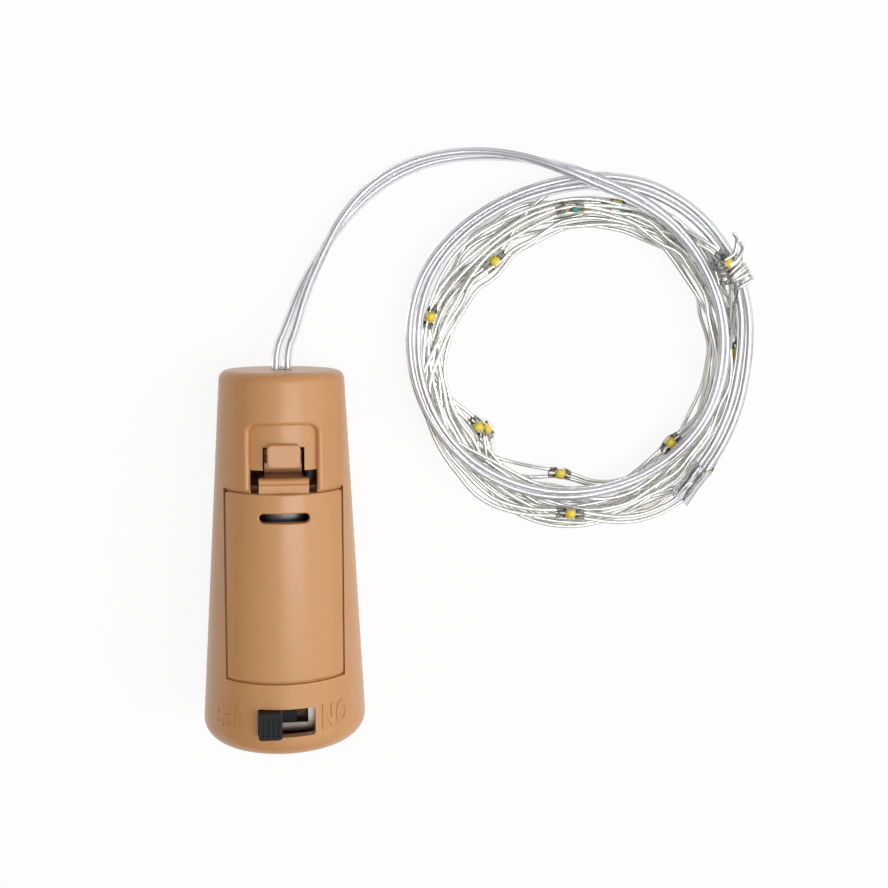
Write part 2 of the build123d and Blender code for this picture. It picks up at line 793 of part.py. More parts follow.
def least_gap(edges, per_turn, radius):
    """The least gap of a wound tube to its own next turns, measured on points of its centre line."""
    steps = range(arc_point_count)
    points = [edge.position_at(step / arc_point_count) for edge in edges for step in steps]
    least = math.inf
    for index, point in enumerate(points):
        for turn in range(1, len(points) // per_turn + 1):
            middle = index + turn * per_turn
            first = max(0, middle - near_point_count)
            for near in range(first, min(len(points) - 1, middle + near_point_count)):
                run = points[near + 1] - points[near]
                share = min(1, max(0, (point - points[near]).dot(run) / run.dot(run)))
                least = min(least, (points[near] + run * share - point).length)
    return least - 2 * radius


# The spring: a cone of wire from its plate to the first cell's cap
spring_low = bay_start + sheet_thickness + spring_wire_radius
spring_rise = stack_start - spring_wire_radius - spring_low


def spring_place(turn):
    """The spring wire's centre after a number of turns."""
    turned = turn / spring_turns
    radius = spring_foot_radius + (spring_tip_radius - spring_foot_radius) * turned
    angle = 2 * math.pi * turn
    return inside(radius * math.cos(angle), spring_low + spring_rise * turned, radius * math.sin(angle))


with BuildPart() as negative_spring:
    with BuildLine() as spring_path:
        for step in range(spring_turns * steps_per_turn):
            first = step / steps_per_turn
            second = (step + 1) / steps_per_turn
            first_way = way_at(spring_place, first)
            second_way = way_at(spring_place, second)
            biarc(spring_place(first), first_way, spring_place(second), second_way)
    with BuildSketch(Plane(origin=spring_path.wire() @ 0, z_dir=spring_path.wire() % 0)):
        Circle(spring_wire_radius)
    sweep(path=spring_path.wire())
negative_spring.part.label = "negative_spring"
export_step(negative_spring.part, "parts/negative_spring.step")

# The plug that grips the two leads just inside the small end
with BuildPart() as lead_plug:
    with BuildSketch(across(plug_start)):
        Rectangle(lead_plug_width, lead_plug_height)
        with Locations((-lead_half_pitch, 0), (lead_half_pitch, 0)):
            Circle(lead_radius + lead_hole_gap, mode=Mode.SUBTRACT)
    extrude(amount=-lead_plug_length)
lead_plug.part.label = "lead_plug"
export_step(lead_plug.part, "parts/lead_plug.step")


def bend_radii(points):
    """The radius at each corner of a route, as large as its two runs allow."""
    radii = []
    for before, corner, after in zip(points, points[1:], points[2:]):
        half_turn = math.radians((corner - before).get_angle(after - corner)) / 2
        shorter = min((corner - before).length, (after - corner).length)
        radii.append(bend_share * shorter / math.tan(half_turn))
    return radii


def print_tube(name, tube, path, radii, radius):
    """Print a tube's length, its tightest bend and how its volume compares with section times length."""
    share = tube.volume / (math.pi * radius ** 2 * path.length)
    print(f"{name}: {path.length:.1f} mm long, tightest bend {min(radii):.1f} mm, volume share {share:.4f}")


# The leads inside the housing, from the plug to the small-end contact and to the board
lead_turn_place = housing_length - inner_lead_straight
lead_step_place = lead_turn_place - inner_lead_reach
cell_lead_reach = cell_radius + lead_cell_gap + lead_radius
cell_lead_height = board_height * lead_height_share
board_lead_reach = board_width / 2 - lead_radius
board_lead_place = board_end - board_lead_setback
inner_lead_routes = {
    "inner_lead_a": [
        inside(lead_half_pitch, housing_length, 0),
        inside(lead_half_pitch, lead_turn_place, 0),
        inside(inner_lead_reach, lead_turn_place - inner_lead_bend, 0),
        inside(inner_lead_reach, bay_end, 0),
    ],
    "inner_lead_b": [
        inside(-lead_half_pitch, housing_length, 0),
        inside(-lead_half_pitch, lead_turn_place, 0),
        inside(-(lead_half_pitch + cell_lead_reach) * 2 / 3, lead_step_place, cell_lead_height / 3),
        inside(-cell_lead_reach, lead_step_place - inner_lead_bend, cell_lead_height),
        inside(-cell_lead_reach, bay_start - bay_wall, cell_lead_height),
        inside(-board_lead_reach, board_lead_place + board_lead_run, board_height - lead_radius),
        inside(-board_lead_reach, board_lead_place, board_height - lead_radius),
    ],
}
for lead_name, lead_points in inner_lead_routes.items():
    inner_radii = bend_radii(lead_points)
    with BuildPart() as inner_lead:
        with BuildLine() as inner_path:
            FilletPolyline(*lead_points, radius=inner_radii)
        with BuildSketch(Plane(origin=inner_path.wire() @ 0, z_dir=inner_path.wire() % 0)):
            Circle(lead_radius)
        sweep(path=inner_path.wire())
    inner_lead.part.label = lead_name
    export_step(inner_lead.part, "parts/" + lead_name + ".step")
    print_tube(lead_name, inner_lead.part, inner_path.wire(), inner_radii, lead_radius)

# The sleeve that joins the leads to the string, on top of the coil
sleeve_heading = math.radians(sleeve_angle - 90 + sleeve_skew)
sleeve_way = Vector(math.cos(sleeve_heading), math.sin(sleeve_heading), 0)
sleeve_right = sleeve_way.cross(Vector(0, 0, 1))
sleeve_middle = Vector(
    ring_x + sleeve_ring_radius * math.cos(math.radians(sleeve_angle)),
    ring_y + sleeve_ring_radius * math.sin(math.radians(sleeve_angle)),
    sleeve_height,
)
sleeve_entry = sleeve_middle - sleeve_way * (sleeve_length / 2)
sleeve_exit = sleeve_middle + sleeve_way * (sleeve_length / 2)
sleeve_plane = Plane(origin=sleeve_entry, x_dir=sleeve_right, z_dir=sleeve_way)
splice_reach = (sleeve_lead_half_pitch + string_half_pitch) / 2

with BuildPart() as splice_sleeve:
    with BuildSketch(sleeve_plane):
        RectangleRounded(sleeve_width, sleeve_thickness, sleeve_corner_radius)
        with Locations((-splice_reach, 0), (splice_reach, 0)):
            Circle(splice_radius + lead_hole_gap, mode=Mode.SUBTRACT)
    extrude(amount=sleeve_length)
splice_sleeve.part.label = "splice_sleeve"
export_step(splice_sleeve.part, "parts/splice_sleeve.step")

with BuildPart() as splice_joints:
    with BuildSketch(sleeve_plane):
        with Locations((-splice_reach, 0), (splice_reach, 0)):
            Circle(splice_radius)
    extrude(amount=sleeve_length)
splice_joints.part.label = "splice_joints"
export_step(splice_joints.part, "parts/splice_joints.step")


def lead_points_on(side):
    """One lead's corner points, on the right of the way out for side 1 and on the left for side -1."""
    rows = [(inside(0, housing_length + lead_exit_run, 0), lead_half_pitch)]
    rows += [(Vector(x, y, z), half) for x, y, z, half in lead_route]
    rows += [(sleeve_entry - sleeve_way * sleeve_run, sleeve_lead_half_pitch)]
    points = [inside(side * lead_half_pitch, housing_length, 0)]
    points += [inside(side * lead_half_pitch, housing_length + lead_exit_run, 0)]
    for (before, _), (middle, half), (after, _) in zip(rows, rows[1:], rows[2:]):
        right = (after - before).cross(Vector(0, 0, 1)).normalized()
        points.append(middle + right * (side * half))
    points.append(rows[-1][0] + sleeve_right * (side * sleeve_lead_half_pitch))
    points.append(sleeve_entry + sleeve_right * (side * sleeve_lead_half_pitch))
    return points


for lead_name, lead_side in (("lead_wire_a", 1), ("lead_wire_b", -1)):
    lead_points = lead_points_on(lead_side)
    lead_radii = bend_radii(lead_points)
    with BuildPart() as lead_wire:
        with BuildLine() as lead_path:
            FilletPolyline(*lead_points, radius=lead_radii)
        with BuildSketch(Plane(origin=lead_path.wire() @ 0, z_dir=lead_path.wire() % 0)):
            Circle(lead_radius)
        sweep(path=lead_path.wire())
    lead_wire.part.label = lead_name
    export_step(lead_wire.part, "parts/" + lead_name + ".step")
    print_tube(lead_name, lead_wire.part, lead_path.wire(), lead_radii, lead_radius)

# The coil: the string runs clockwise from the sleeve, in and out again through four layers
string_start = sleeve_exit + sleeve_way * (2 * string_radius)
start_angle = math.degrees(math.atan2(string_start.Y - ring_y, string_start.X - ring_x))
start_radius = math.hypot(string_start.Y - ring_y, string_start.X - ring_x)
top_layer = lowest_layer + (layer_count - 1) * layer_pitch
climb_angle = math.radians(start_angle - 360 * layer_turns)


def eased(share):
    """A share of a step that starts and ends gently."""
    share = min(1, max(0, share))
    return share * share * (3 - 2 * share)


def layers_down(turn):
    """How many layers below the top one the string lies."""
    climbs = range(1, layer_count)
    return sum(eased((turn - climb * layer_turns) / climb_turns + 1 / 2) for climb in climbs)


def ring_radius(turn, angle):
    """The pair's distance from the coil's middle: its place across the coil, and how the coil wanders."""
    layer = min(int(turn / layer_turns), layer_count - 1)
    layer_share = turn / layer_turns - layer
    inward_share = 1 - layer_share if layer % 2 else layer_share
    spread = spread_share - spread_swing_share * (math.cos(2 * angle) + math.sin(angle))
    across_coil = spread * column_pitch * layer_turns * (1 / 2 - inward_share)
    wander = sideways_wander * math.sin(angle - climb_angle)
    wander += oval_wander * math.sin(2 * (angle - climb_angle))
    return ring_mean_radius + across_coil + wander * math.cos(math.pi * layers_down(turn))


def string_place(turn, side):
    """A string wire's centre: side 1 is the inner wire, -1 the outer and 0 the middle of the pair."""
    angle = math.radians(start_angle - 360 * turn)
    settle = eased(turn / settle_turns)
    radius = ring_radius(turn, angle)
    radius += (start_radius - ring_radius(0, math.radians(start_angle))) * (1 - eased(turn / climb_turns))
    radius -= side * string_half_pitch
    height = top_layer - layer_pitch * layers_down(turn) + (sleeve_height - top_layer) * (1 - settle)
    return Vector(ring_x + radius * math.cos(angle), ring_y + radius * math.sin(angle), height)


for string_name, string_side in (("string_wire_a", 1), ("string_wire_b", -1)):
    side_step = sleeve_right * (string_side * string_half_pitch)
    with BuildPart() as string_wire:
        with BuildLine() as string_path:
            Line(sleeve_exit + side_step, string_start + side_step)
            place, way = string_start + side_step, sleeve_way
            for step in range(1, int(string_turns * steps_per_turn) + 1):
                turn = step / steps_per_turn
                next_place = string_place(turn, string_side)
                next_way = way_at(lambda t: string_place(t, string_side), turn)
                biarc(place, way, next_place, next_way)
                place, way = next_place, next_way
            Line(place, place + way * (2 * string_radius))
        with BuildSketch(Plane(origin=string_path.wire() @ 0, z_dir=string_path.wire() % 0)):
            Circle(string_radius)
        sweep(path=string_path.wire())
    string_wire.part.label = string_name
    export_step(string_wire.part, "parts/" + string_name + ".step")
    arcs = string_path.edges()[1:-1]
    gap = least_gap(arcs, 2 * arc_point_count * steps_per_turn, string_radius)
    volume_share = string_wire.part.volume / (math.pi * string_radius ** 2 * string_path.wire().length)
    print(f"{string_name}: {string_path.wire().length:.1f} mm long, least gap to itself {gap:.2f} mm,"
          f" volume share {volume_share:.4f}")

# The lights along the string
light_planes = []
for light_turn in light_turn_shares:
    light_way = way_at(lambda t: string_place(t, 0), light_turn)
    light_planes.append(Plane(origin=string_place(light_turn, 0), x_dir=light_way, z_dir=(0, 0, 1)))

chip_bottom = string_radius + chip_gap
bead_top = chip_bottom + chip_thickness

with BuildPart() as led_chips:
    for light_plane in light_planes:
        with BuildSketch(light_plane.offset(chip_bottom)):
            Rectangle(chip_length, chip_width)
        extrude(amount=chip_thickness)
led_chips.part.label = "led_chips"
export_step(led_chips.part, "parts/led_chips.step")

with BuildPart() as led_beads:
    for light_plane in light_planes:
        with BuildSketch(light_plane.offset(-bead_depth)):
            RectangleRounded(bead_length, bead_width, bead_corner_radius)
        extrude(amount=bead_depth + bead_top)
        with BuildSketch(light_plane.offset(bead_top)):
            Rectangle(chip_length + 2 * chip_gap, chip_width + 2 * chip_gap)
        extrude(amount=-chip_thickness - chip_gap / 2, mode=Mode.SUBTRACT)
led_beads.part.label = "led_beads"
export_step(led_beads.part, "parts/led_beads.step")
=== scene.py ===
import logging
import math
from dataclasses import dataclass, field
from enum import Enum
from typing import Any, Optional, Sequence

import bmesh
import bpy
from bmesh.types import BMesh
from bpy.types import Material, Mesh, Node, NodeSocket, NodeTree, Object
from mathutils import Matrix, Vector


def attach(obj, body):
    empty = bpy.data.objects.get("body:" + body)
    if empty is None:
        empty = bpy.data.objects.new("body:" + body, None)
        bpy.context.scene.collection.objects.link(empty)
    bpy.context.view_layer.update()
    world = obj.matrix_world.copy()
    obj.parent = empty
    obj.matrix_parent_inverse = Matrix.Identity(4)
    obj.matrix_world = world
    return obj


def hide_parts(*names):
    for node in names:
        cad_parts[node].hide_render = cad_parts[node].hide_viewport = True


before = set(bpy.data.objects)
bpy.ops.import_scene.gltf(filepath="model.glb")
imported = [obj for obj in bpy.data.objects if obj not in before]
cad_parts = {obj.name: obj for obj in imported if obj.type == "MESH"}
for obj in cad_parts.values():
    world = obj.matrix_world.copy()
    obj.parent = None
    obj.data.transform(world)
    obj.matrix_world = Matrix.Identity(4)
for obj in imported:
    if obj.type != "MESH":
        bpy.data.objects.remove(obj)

# A cork-shaped bottle stopper with a battery door and a slide switch, and its coil of small
# lights. Lengths and places are in millimetres, and in metres where Blender gets them.
LOG = logging.getLogger("bottle_light")
MM = 0.001
UP = Vector((0, 0, 1))
# Blender's wave texture runs through this many radians over each unit of its scale.
WAVE_RADIANS = 20
# How far the cloth's threads waver, how rough the noise patterns are, and how strong the relief.
THREAD_WAVER = 0.4
NOISE_ROUGHNESS = 0.55
RELIEF_STRENGTH = 0.6
# Steps over a quarter of a cord's round section.
CORD_BEVEL_STEPS = 3
# A word's letters, with where each one's middle stands round the cone and its width.
Letters = tuple[tuple[str, float, float], ...]
Pair = tuple[float, float]
Triple = tuple[float, float, float]


def linear(code: str) -> tuple[float, float, float, float]:
    """Turn an sRGB hex colour into linear values.

    Args:
        code: six hex digits, such as "C8925F".

    Returns:
        Red, green, blue and an alpha of 1.
    """
    parts = [int(code[index:index + 2], 16) / 255 for index in (0, 2, 4)]
    red, green, blue = (p / 12.92 if p <= 0.04045 else ((p + 0.055) / 1.055) ** 2.4 for p in parts)
    return red, green, blue, 1.0


def add_node(
    tree: NodeTree, kind: str, settings: Optional[dict] = None, links: Optional[dict] = None
) -> Node:
    """Add a node with its settings and links.

    Args:
        tree: the node tree that gets it.
        kind: the node's type, without its first word, ShaderNode.
        settings: values by attribute name, or by a socket's name or number.
        links: output sockets by the name or number of the input that they feed.

    Returns:
        The new node.
    """
    node = tree.nodes.new("ShaderNode" + kind)
    for name, value in (settings or {}).items():
        if isinstance(name, str) and hasattr(node, name):
            setattr(node, name, value)
        else:
            node.inputs[name].default_value = value
    for name, source in (links or {}).items():
        tree.links.new(source, node.inputs[name])
    return node


def math_node(tree: NodeTree, operation: str, *values: Any) -> NodeSocket:
    """Add a calculation with sockets and numbers, and give the socket with its result."""
    links = {n: v for n, v in enumerate(values) if isinstance(v, NodeSocket)}
    numbers = {n: v for n, v in enumerate(values) if n not in links}
    return add_node(tree, "Math", {"operation": operation, **numbers}, links).outputs[0]


def mixed_colour(tree: NodeTree, share: NodeSocket, low: str, high: str) -> NodeSocket:
    """Mix two hex colours by a share from 0 to 1, and give the socket with the result."""
    settings = {"data_type": "RGBA", 6: linear(low), 7: linear(high)}
    return add_node(tree, "Mix", settings, {0: share}).outputs[2]


def cleared_tree(owner: Any) -> NodeTree:
    """Give the node tree of a material or a world, with nothing in it."""
    owner.use_nodes = True
    owner.node_tree.nodes.clear()
    return owner.node_tree


def add_object(name: str, data: Any) -> Object:
    """Make an object and put it in the scene."""
    obj = bpy.data.objects.new(name, data)
    bpy.context.scene.collection.objects.link(obj)
    return obj


class Pattern(Enum):
    """How a surface was made, which sets its pattern, with the detail of the pattern's noise."""

    MOULDED = 4.0
    BRUSHED = 6.0
    DRAWN = 3.0
    CAST = 1.0
    WOVEN = 0.0


@dataclass(frozen=True)
class Finish:
    """A material, named for the real one and for how its surface was made."""

    name: str
    colour: str
    deep: str
    pattern: Pattern
    pitch_mm: float
    roughness: float
    roughness_spread: float = 0.08
    relief_mm: float = 0.01
    metallic: float = 0.0
    transmission: float = 0.0
    ior: float = 1.5
    subsurface: float = 0.0
    subsurface_mm: float = 0.4
    coat: float = 0.0
    coat_roughness: float = 0.05
    stretch: Triple = (1.0, 1.0, 1.0)
    made: dict = field(default_factory=dict, compare=False)

    def texture(self, tree: NodeTree) -> NodeSocket:
        """Add the nodes of the pattern, and give its socket, from 0 to 1."""
        place = add_node(tree, "TexCoord").outputs["Object"]
        stretched = add_node(tree, "Mapping", {"Scale": self.stretch}, {"Vector": place}).outputs[0]
        scale = 1 / (self.pitch_mm * MM)
        if self.pattern is Pattern.WOVEN:
            width = 2 * math.pi * scale / WAVE_RADIANS
            threads = []
            for way in ("X", "Y"):
                settings = {"bands_direction": way, "Scale": width, "Distortion": THREAD_WAVER}
                threads.append(add_node(tree, "TexWave", settings, {"Vector": stretched}))
            return math_node(tree, "MULTIPLY", *(thread.outputs["Fac"] for thread in threads))
        settings = {"Scale": scale, "Detail": self.pattern.value, "Roughness": NOISE_ROUGHNESS}
        return add_node(tree, "TexNoise", settings, {"Vector": stretched}).outputs["Fac"]

    def material(self) -> Material:
        """Give the material, made once, with colour, roughness and relief from its pattern."""
        if "material" in self.made:
            return self.made["material"]
        material = bpy.data.materials.new(self.name)
        tree = cleared_tree(material)
        pattern = self.texture(tree)
        low, high = (self.roughness + way * self.roughness_spread for way in (-1, 1))
        roughness = add_node(tree, "MapRange", {"To Min": low, "To Max": high}, {"Value": pattern})
        depth = {"Strength": RELIEF_STRENGTH, "Distance": self.relief_mm * MM}
        relief = add_node(tree, "Bump", depth, {"Height": pattern})
        settings = {
            "Metallic": self.metallic, "IOR": self.ior, "Transmission Weight": self.transmission,
            "Subsurface Weight": self.subsurface, "Subsurface Scale": self.subsurface_mm * MM,
            "Coat Weight": self.coat, "Coat Roughness": self.coat_roughness,
        }
        links = {
            "Base Color": mixed_colour(tree, pattern, self.deep, self.colour),
            "Roughness": roughness.outputs[0],
            "Normal": relief.outputs[0],
        }
        shader = add_node(tree, "BsdfPrincipled", settings, links)
        add_node(tree, "OutputMaterial", links={"Surface": shader.outputs[0]})
        self.made["material"] = material
        return material


# ABS, moulded and sprayed with a satin tan lacquer: an even tan with a faint orange-peel, and a
# soft, broad highlight along the cone.
TAN_ABS = Finish(
    "sprayed_moulded_abs_tan", "CF9760", "C78E57", Pattern.MOULDED, 1.1, 0.46, 0.05, 0.004,
    ior=1.45, subsurface=0.2, subsurface_mm=0.8, coat=0.4, coat_roughness=0.25,
)
# ABS, moulded in black against a fine-eroded die: dull black with a bluish grey sheen.
BLACK_ABS = Finish(
    "moulded_abs_black", "101317", "0A0C0E", Pattern.MOULDED, 0.4, 0.55, 0.08, 0.008, ior=1.36,
)
# Steel sheet, nickel-plated and stamped: pale and slightly pink, with fine rolling lines.
NICKEL_SHEET = Finish(
    "stamped_nickel_plated_steel", "D2C8C0", "B9AFA8", Pattern.BRUSHED, 0.25, 0.3, 0.08, 0.003,
    metallic=1.0, stretch=(0.08, 1.0, 1.0),
)
# Brass strip, stamped: brown, partly from tarnish and partly darkened as painted shade for the
# switch's window, and a dull warm yellow between.
BRASS_TARNISH_AND_SHADE = Finish(
    "stamped_brass_tarnish_and_painted_shade", "6A4E2E", "4C3620", Pattern.BRUSHED, 0.4, 0.4, 0.1, 0.003,
    metallic=1.0, stretch=(0.1, 1.0, 1.0),
)
# Paper-phenolic sheet, pressed and punched: mottled brown, half dull.
PHENOLIC = Finish(
    "pressed_paper_phenolic", "6E4A36", "5A3A2A", Pattern.CAST, 0.9, 0.5, 0.1, 0.01,
)
# Glass-epoxy laminate, lacquered green: the glass cloth's weave shows through the lacquer. The
# cloth's threads are 0.4 mm apart.
LAMINATE = Finish(
    "lacquered_glass_epoxy_laminate", "3C7A50", "2C6240", Pattern.WOVEN, 0.4, 0.35, 0.06, 0.006,
)
# Alumina, fired and glazed, with tinned ends: near black, and glossy.
CERAMIC = Finish(
    "glazed_alumina_resistor", "2A2A2E", "1E1E21", Pattern.CAST, 0.3, 0.28, 0.06, 0.002,
)
# Steel cell can, drawn and nickel-plated: a dull steel grey, darkened as painted shade for the grip
# slot that it is seen through, with fine rings from the drawing.
CELL_STEEL_PAINTED_SHADE = Finish(
    "drawn_nickel_plated_steel_painted_shade", "77777A", "5E5E61", Pattern.BRUSHED, 0.5, 0.42, 0.08, 0.002,
    metallic=1.0, stretch=(1.0, 0.15, 1.0),
)
# Nylon, moulded: milky and half clear.
NYLON = Finish(
    "moulded_nylon", "E9E4D6", "DED8C8", Pattern.MOULDED, 0.5, 0.45, 0.06, 0.004, subsurface=0.2,
)
# Hot-melt glue, set where it was pressed in: cloudy amber-white with soft lumps.
GLUE = Finish(
    "set_hot_melt_glue", "E6DCC2", "D8CBA8", Pattern.CAST, 0.8, 0.35, 0.08, 0.03, subsurface=0.3,
)
# PVC insulation, extruded clear over the strands: glassy, with faint lines along it.
CLEAR_PVC = Finish(
    "extruded_clear_pvc", "FCFCFE", "F4F4F7", Pattern.DRAWN, 0.9, 0.1, 0.05, 0.004,
    transmission=1.0, ior=1.5,
)
# PVC sleeve, cut from clear tube and flattened hot: a little duller, with soft waves.
CLEAR_SLEEVE = Finish(
    "flattened_clear_pvc_tube", "F6F6F9", "EAEAEF", Pattern.CAST, 0.7, 0.16, 0.06, 0.02,
    transmission=1.0, ior=1.5,
)
# Copper strands, tinned and twisted: pale grey metal seen through the insulation.
TINNED_STRANDS = Finish(
    "tinned_copper_strands", "F0F0F2", "D0D0D6", Pattern.DRAWN, 0.35, 0.35, 0.1, 0.01,
    metallic=1.0,
)
# The same strands under clear PVC in the housing's shade: darkened to a plain warm grey with little
# shine, as painted shade.
LEAD_INSIDE_PAINTED_SHADE = Finish(
    "clear_pvc_over_tinned_strands_painted_shade", "8A8580", "6C6762", Pattern.DRAWN, 0.6, 0.4, 0.08, 0.006,
)
# Copper wire, silvered and drawn: soft silver with grey-olive tarnish in patches 3 mm long.
SILVERED_WIRE = Finish(
    "drawn_silvered_copper_wire", "F0F0ED", "C0C0B8", Pattern.DRAWN, 2.6, 0.26, 0.1, 0.006,
    metallic=1.0,
)
# Wire stripped and dipped in flux at each light: dark, brown-grey and half matt.
STRIPPED_WIRE = Finish(
    "stripped_fluxed_wire", "A8A49C", "6E6A62", Pattern.CAST, 0.6, 0.45, 0.12, 0.02,
    metallic=0.6,
)
# Solder, dipped and stained by flux: small dark purplish brown points.
STAINED_SOLDER = Finish(
    "flux_stained_solder", "5A4340", "2E2224", Pattern.CAST, 0.5, 0.4, 0.12, 0.02, metallic=0.5,
)
# Solder, hand made: bright grey with a frosted skin.
SOLDER = Finish(
    "hand_made_solder_joint", "A9A9A6", "84847F", Pattern.CAST, 0.5, 0.38, 0.1, 0.02,
    metallic=1.0,
)
# Phosphor in silicone, dispensed on the chip: strong warm yellow and waxy.
PHOSPHOR = Finish(
    "dispensed_yellow_phosphor", "FFE462", "FFDA48", Pattern.CAST, 0.5, 0.4, 0.06, 0.01,
    subsurface=0.15,
)
# Alumina chip carrier, pressed and fired: plain white.
CARRIER = Finish(
    "fired_white_alumina", "F1EFE8", "E4E0D6", Pattern.MOULDED, 0.3, 0.5, 0.06, 0.004,
)
# Clear resin, dripped over the light and cured: a glassy drop with soft dimples.
RESIN = Finish(
    "dripped_clear_resin", "FAFAF6", "F0F0EA", Pattern.CAST, 1.2, 0.06, 0.03, 0.02,
    transmission=1.0, ior=1.48,
)
# Green lacquer, dabbed on the wire as the maker's mark for polarity: small glossy dots.
GREEN_LACQUER = Finish(
    "dabbed_green_lacquer", "3C9A80", "2C7F68", Pattern.CAST, 0.4, 0.3, 0.08, 0.01, coat=0.3,
)


def dress(obj: Object, finish: Finish) -> None:
    """Give all of an object's material slots one finish."""
    if not obj.material_slots:
        obj.data.materials.append(finish.material())
    for slot in obj.material_slots:
        slot.material = finish.material()


def piece(
    name: str, data: Any, finishes: Sequence[Finish], slot: str, replaced: Sequence[str] = ()
) -> Object:
    """Make an object that rides on the housing.

    Args:
        name: the piece's name.
        data: its curve, or the mesh being built, in metres.
        finishes: the finishes of its material slots, in order.
        slot: the record's material slot, which is not used.
        replaced: the CAD nodes that it stands for.

    Returns:
        The object.
    """
    if isinstance(data, BMesh):
        data = finished(data, name)
    for finish in finishes:
        data.materials.append(finish.material())
    obj = add_object(name, data)
    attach(obj, "housing")
    if replaced:
        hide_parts(*replaced)
    LOG.info("%s: %s", name, ", ".join(finish.name for finish in finishes))
    return obj


def cord_piece(
    name: str,
    points: Sequence[Vector],
    radius: float,
    finish: Finish,
    slot: str,
    replaced: Sequence[str] = (),
    fine: int = 3,
) -> Object:
    """Make a round cord that rides on the housing, from the same facts as a piece.

    Args:
        points: its control points.
        radius: the cord's radius.
        fine: steps between two control points.

    Returns:
        The object, a curve with one open spline that follows the points.
    """
    curve = bpy.data.curves.new(name, "CURVE")
    curve.dimensions = "3D"
    curve.resolution_u = fine
    curve.bevel_depth = radius * MM
    curve.bevel_resolution = CORD_BEVEL_STEPS
    curve.use_fill_caps = True
    spline = curve.splines.new("NURBS")
    spline.points.add(len(points) - 1)
    for point, place in zip(spline.points, points):
        point.co = (*(place * MM), 1)
    spline.order_u = 3
    spline.use_endpoint_u = True
    return piece(name, curve, [finish], slot, replaced)


def finished(bm: BMesh, name: str) -> Mesh:
    """Turn a mesh being built into smooth mesh data.

    Args:
        bm: the mesh being built, which is freed.
        name: the mesh's name.

    Returns:
        The mesh, with its faces turned outward.
    """
    bmesh.ops.recalc_face_normals(bm, faces=bm.faces)
    for face in bm.faces:
        face.smooth = True
    mesh = bpy.data.meshes.new(name)
    bm.to_mesh(mesh)
    bm.free()
    return mesh


def add_skin(bm: BMesh, rings: Sequence[list], closed: bool = False) -> None:
    """Join rings of vertices with a skin.

    Args:
        bm: the mesh being built.
        rings: the rings, in order, with as many vertices in each.
        closed: whether the last ring joins the first. Otherwise each of the two gets a face.
    """
    following = rings[1:] + rings[:1] if closed else rings[1:]
    for first, second in zip(rings, following):
        for index in range(len(first)):
            after = (index + 1) % len(first)
            bm.faces.new((first[index], first[after], second[after], second[index]))
    if not closed:
        bm.faces.new(rings[0])
        bm.faces.new(rings[-1])


def add_tube(bm: BMesh, points: Sequence[Vector], radii: Sequence[float], sides: int) -> None:
    """Add a closed tube along a few points.

    Args:
        bm: the mesh being built.
        points: its centre line.
        radii: its radius at each point.
        sides: how many faces go round it.
    """
    rings = []
    for number, (point, radius) in enumerate(zip(points, radii)):
        before, after = points[max(0, number - 1)], points[min(len(points) - 1, number + 1)]
        way = (after - before).normalized()
        right = way.cross(UP).normalized()
        high = right.cross(way)
        rings.append([
            bm.verts.new((point + (right * math.cos(a) + high * math.sin(a)) * radius) * MM)
            for a in (2 * math.pi * step / sides for step in range(sides))
        ])
    add_skin(bm, rings)


def squared(value: float, power: float) -> float:
    """A sine or cosine to a power, with its sign kept. Below 1, it makes an oval squarer."""
    return math.copysign(abs(value) ** power, value)


@dataclass(frozen=True)
class Wave:
    """A wave in a wire's lie: its size in mm, its radians in a turn, and its phase by side."""

    size: float
    rate: float
    phase: float = 0.0

    def at(self, turn: float, side: float) -> float:
        """The wave at that turn, for the wire on that side."""
        return self.size * math.sin(self.rate * turn + self.phase * side)


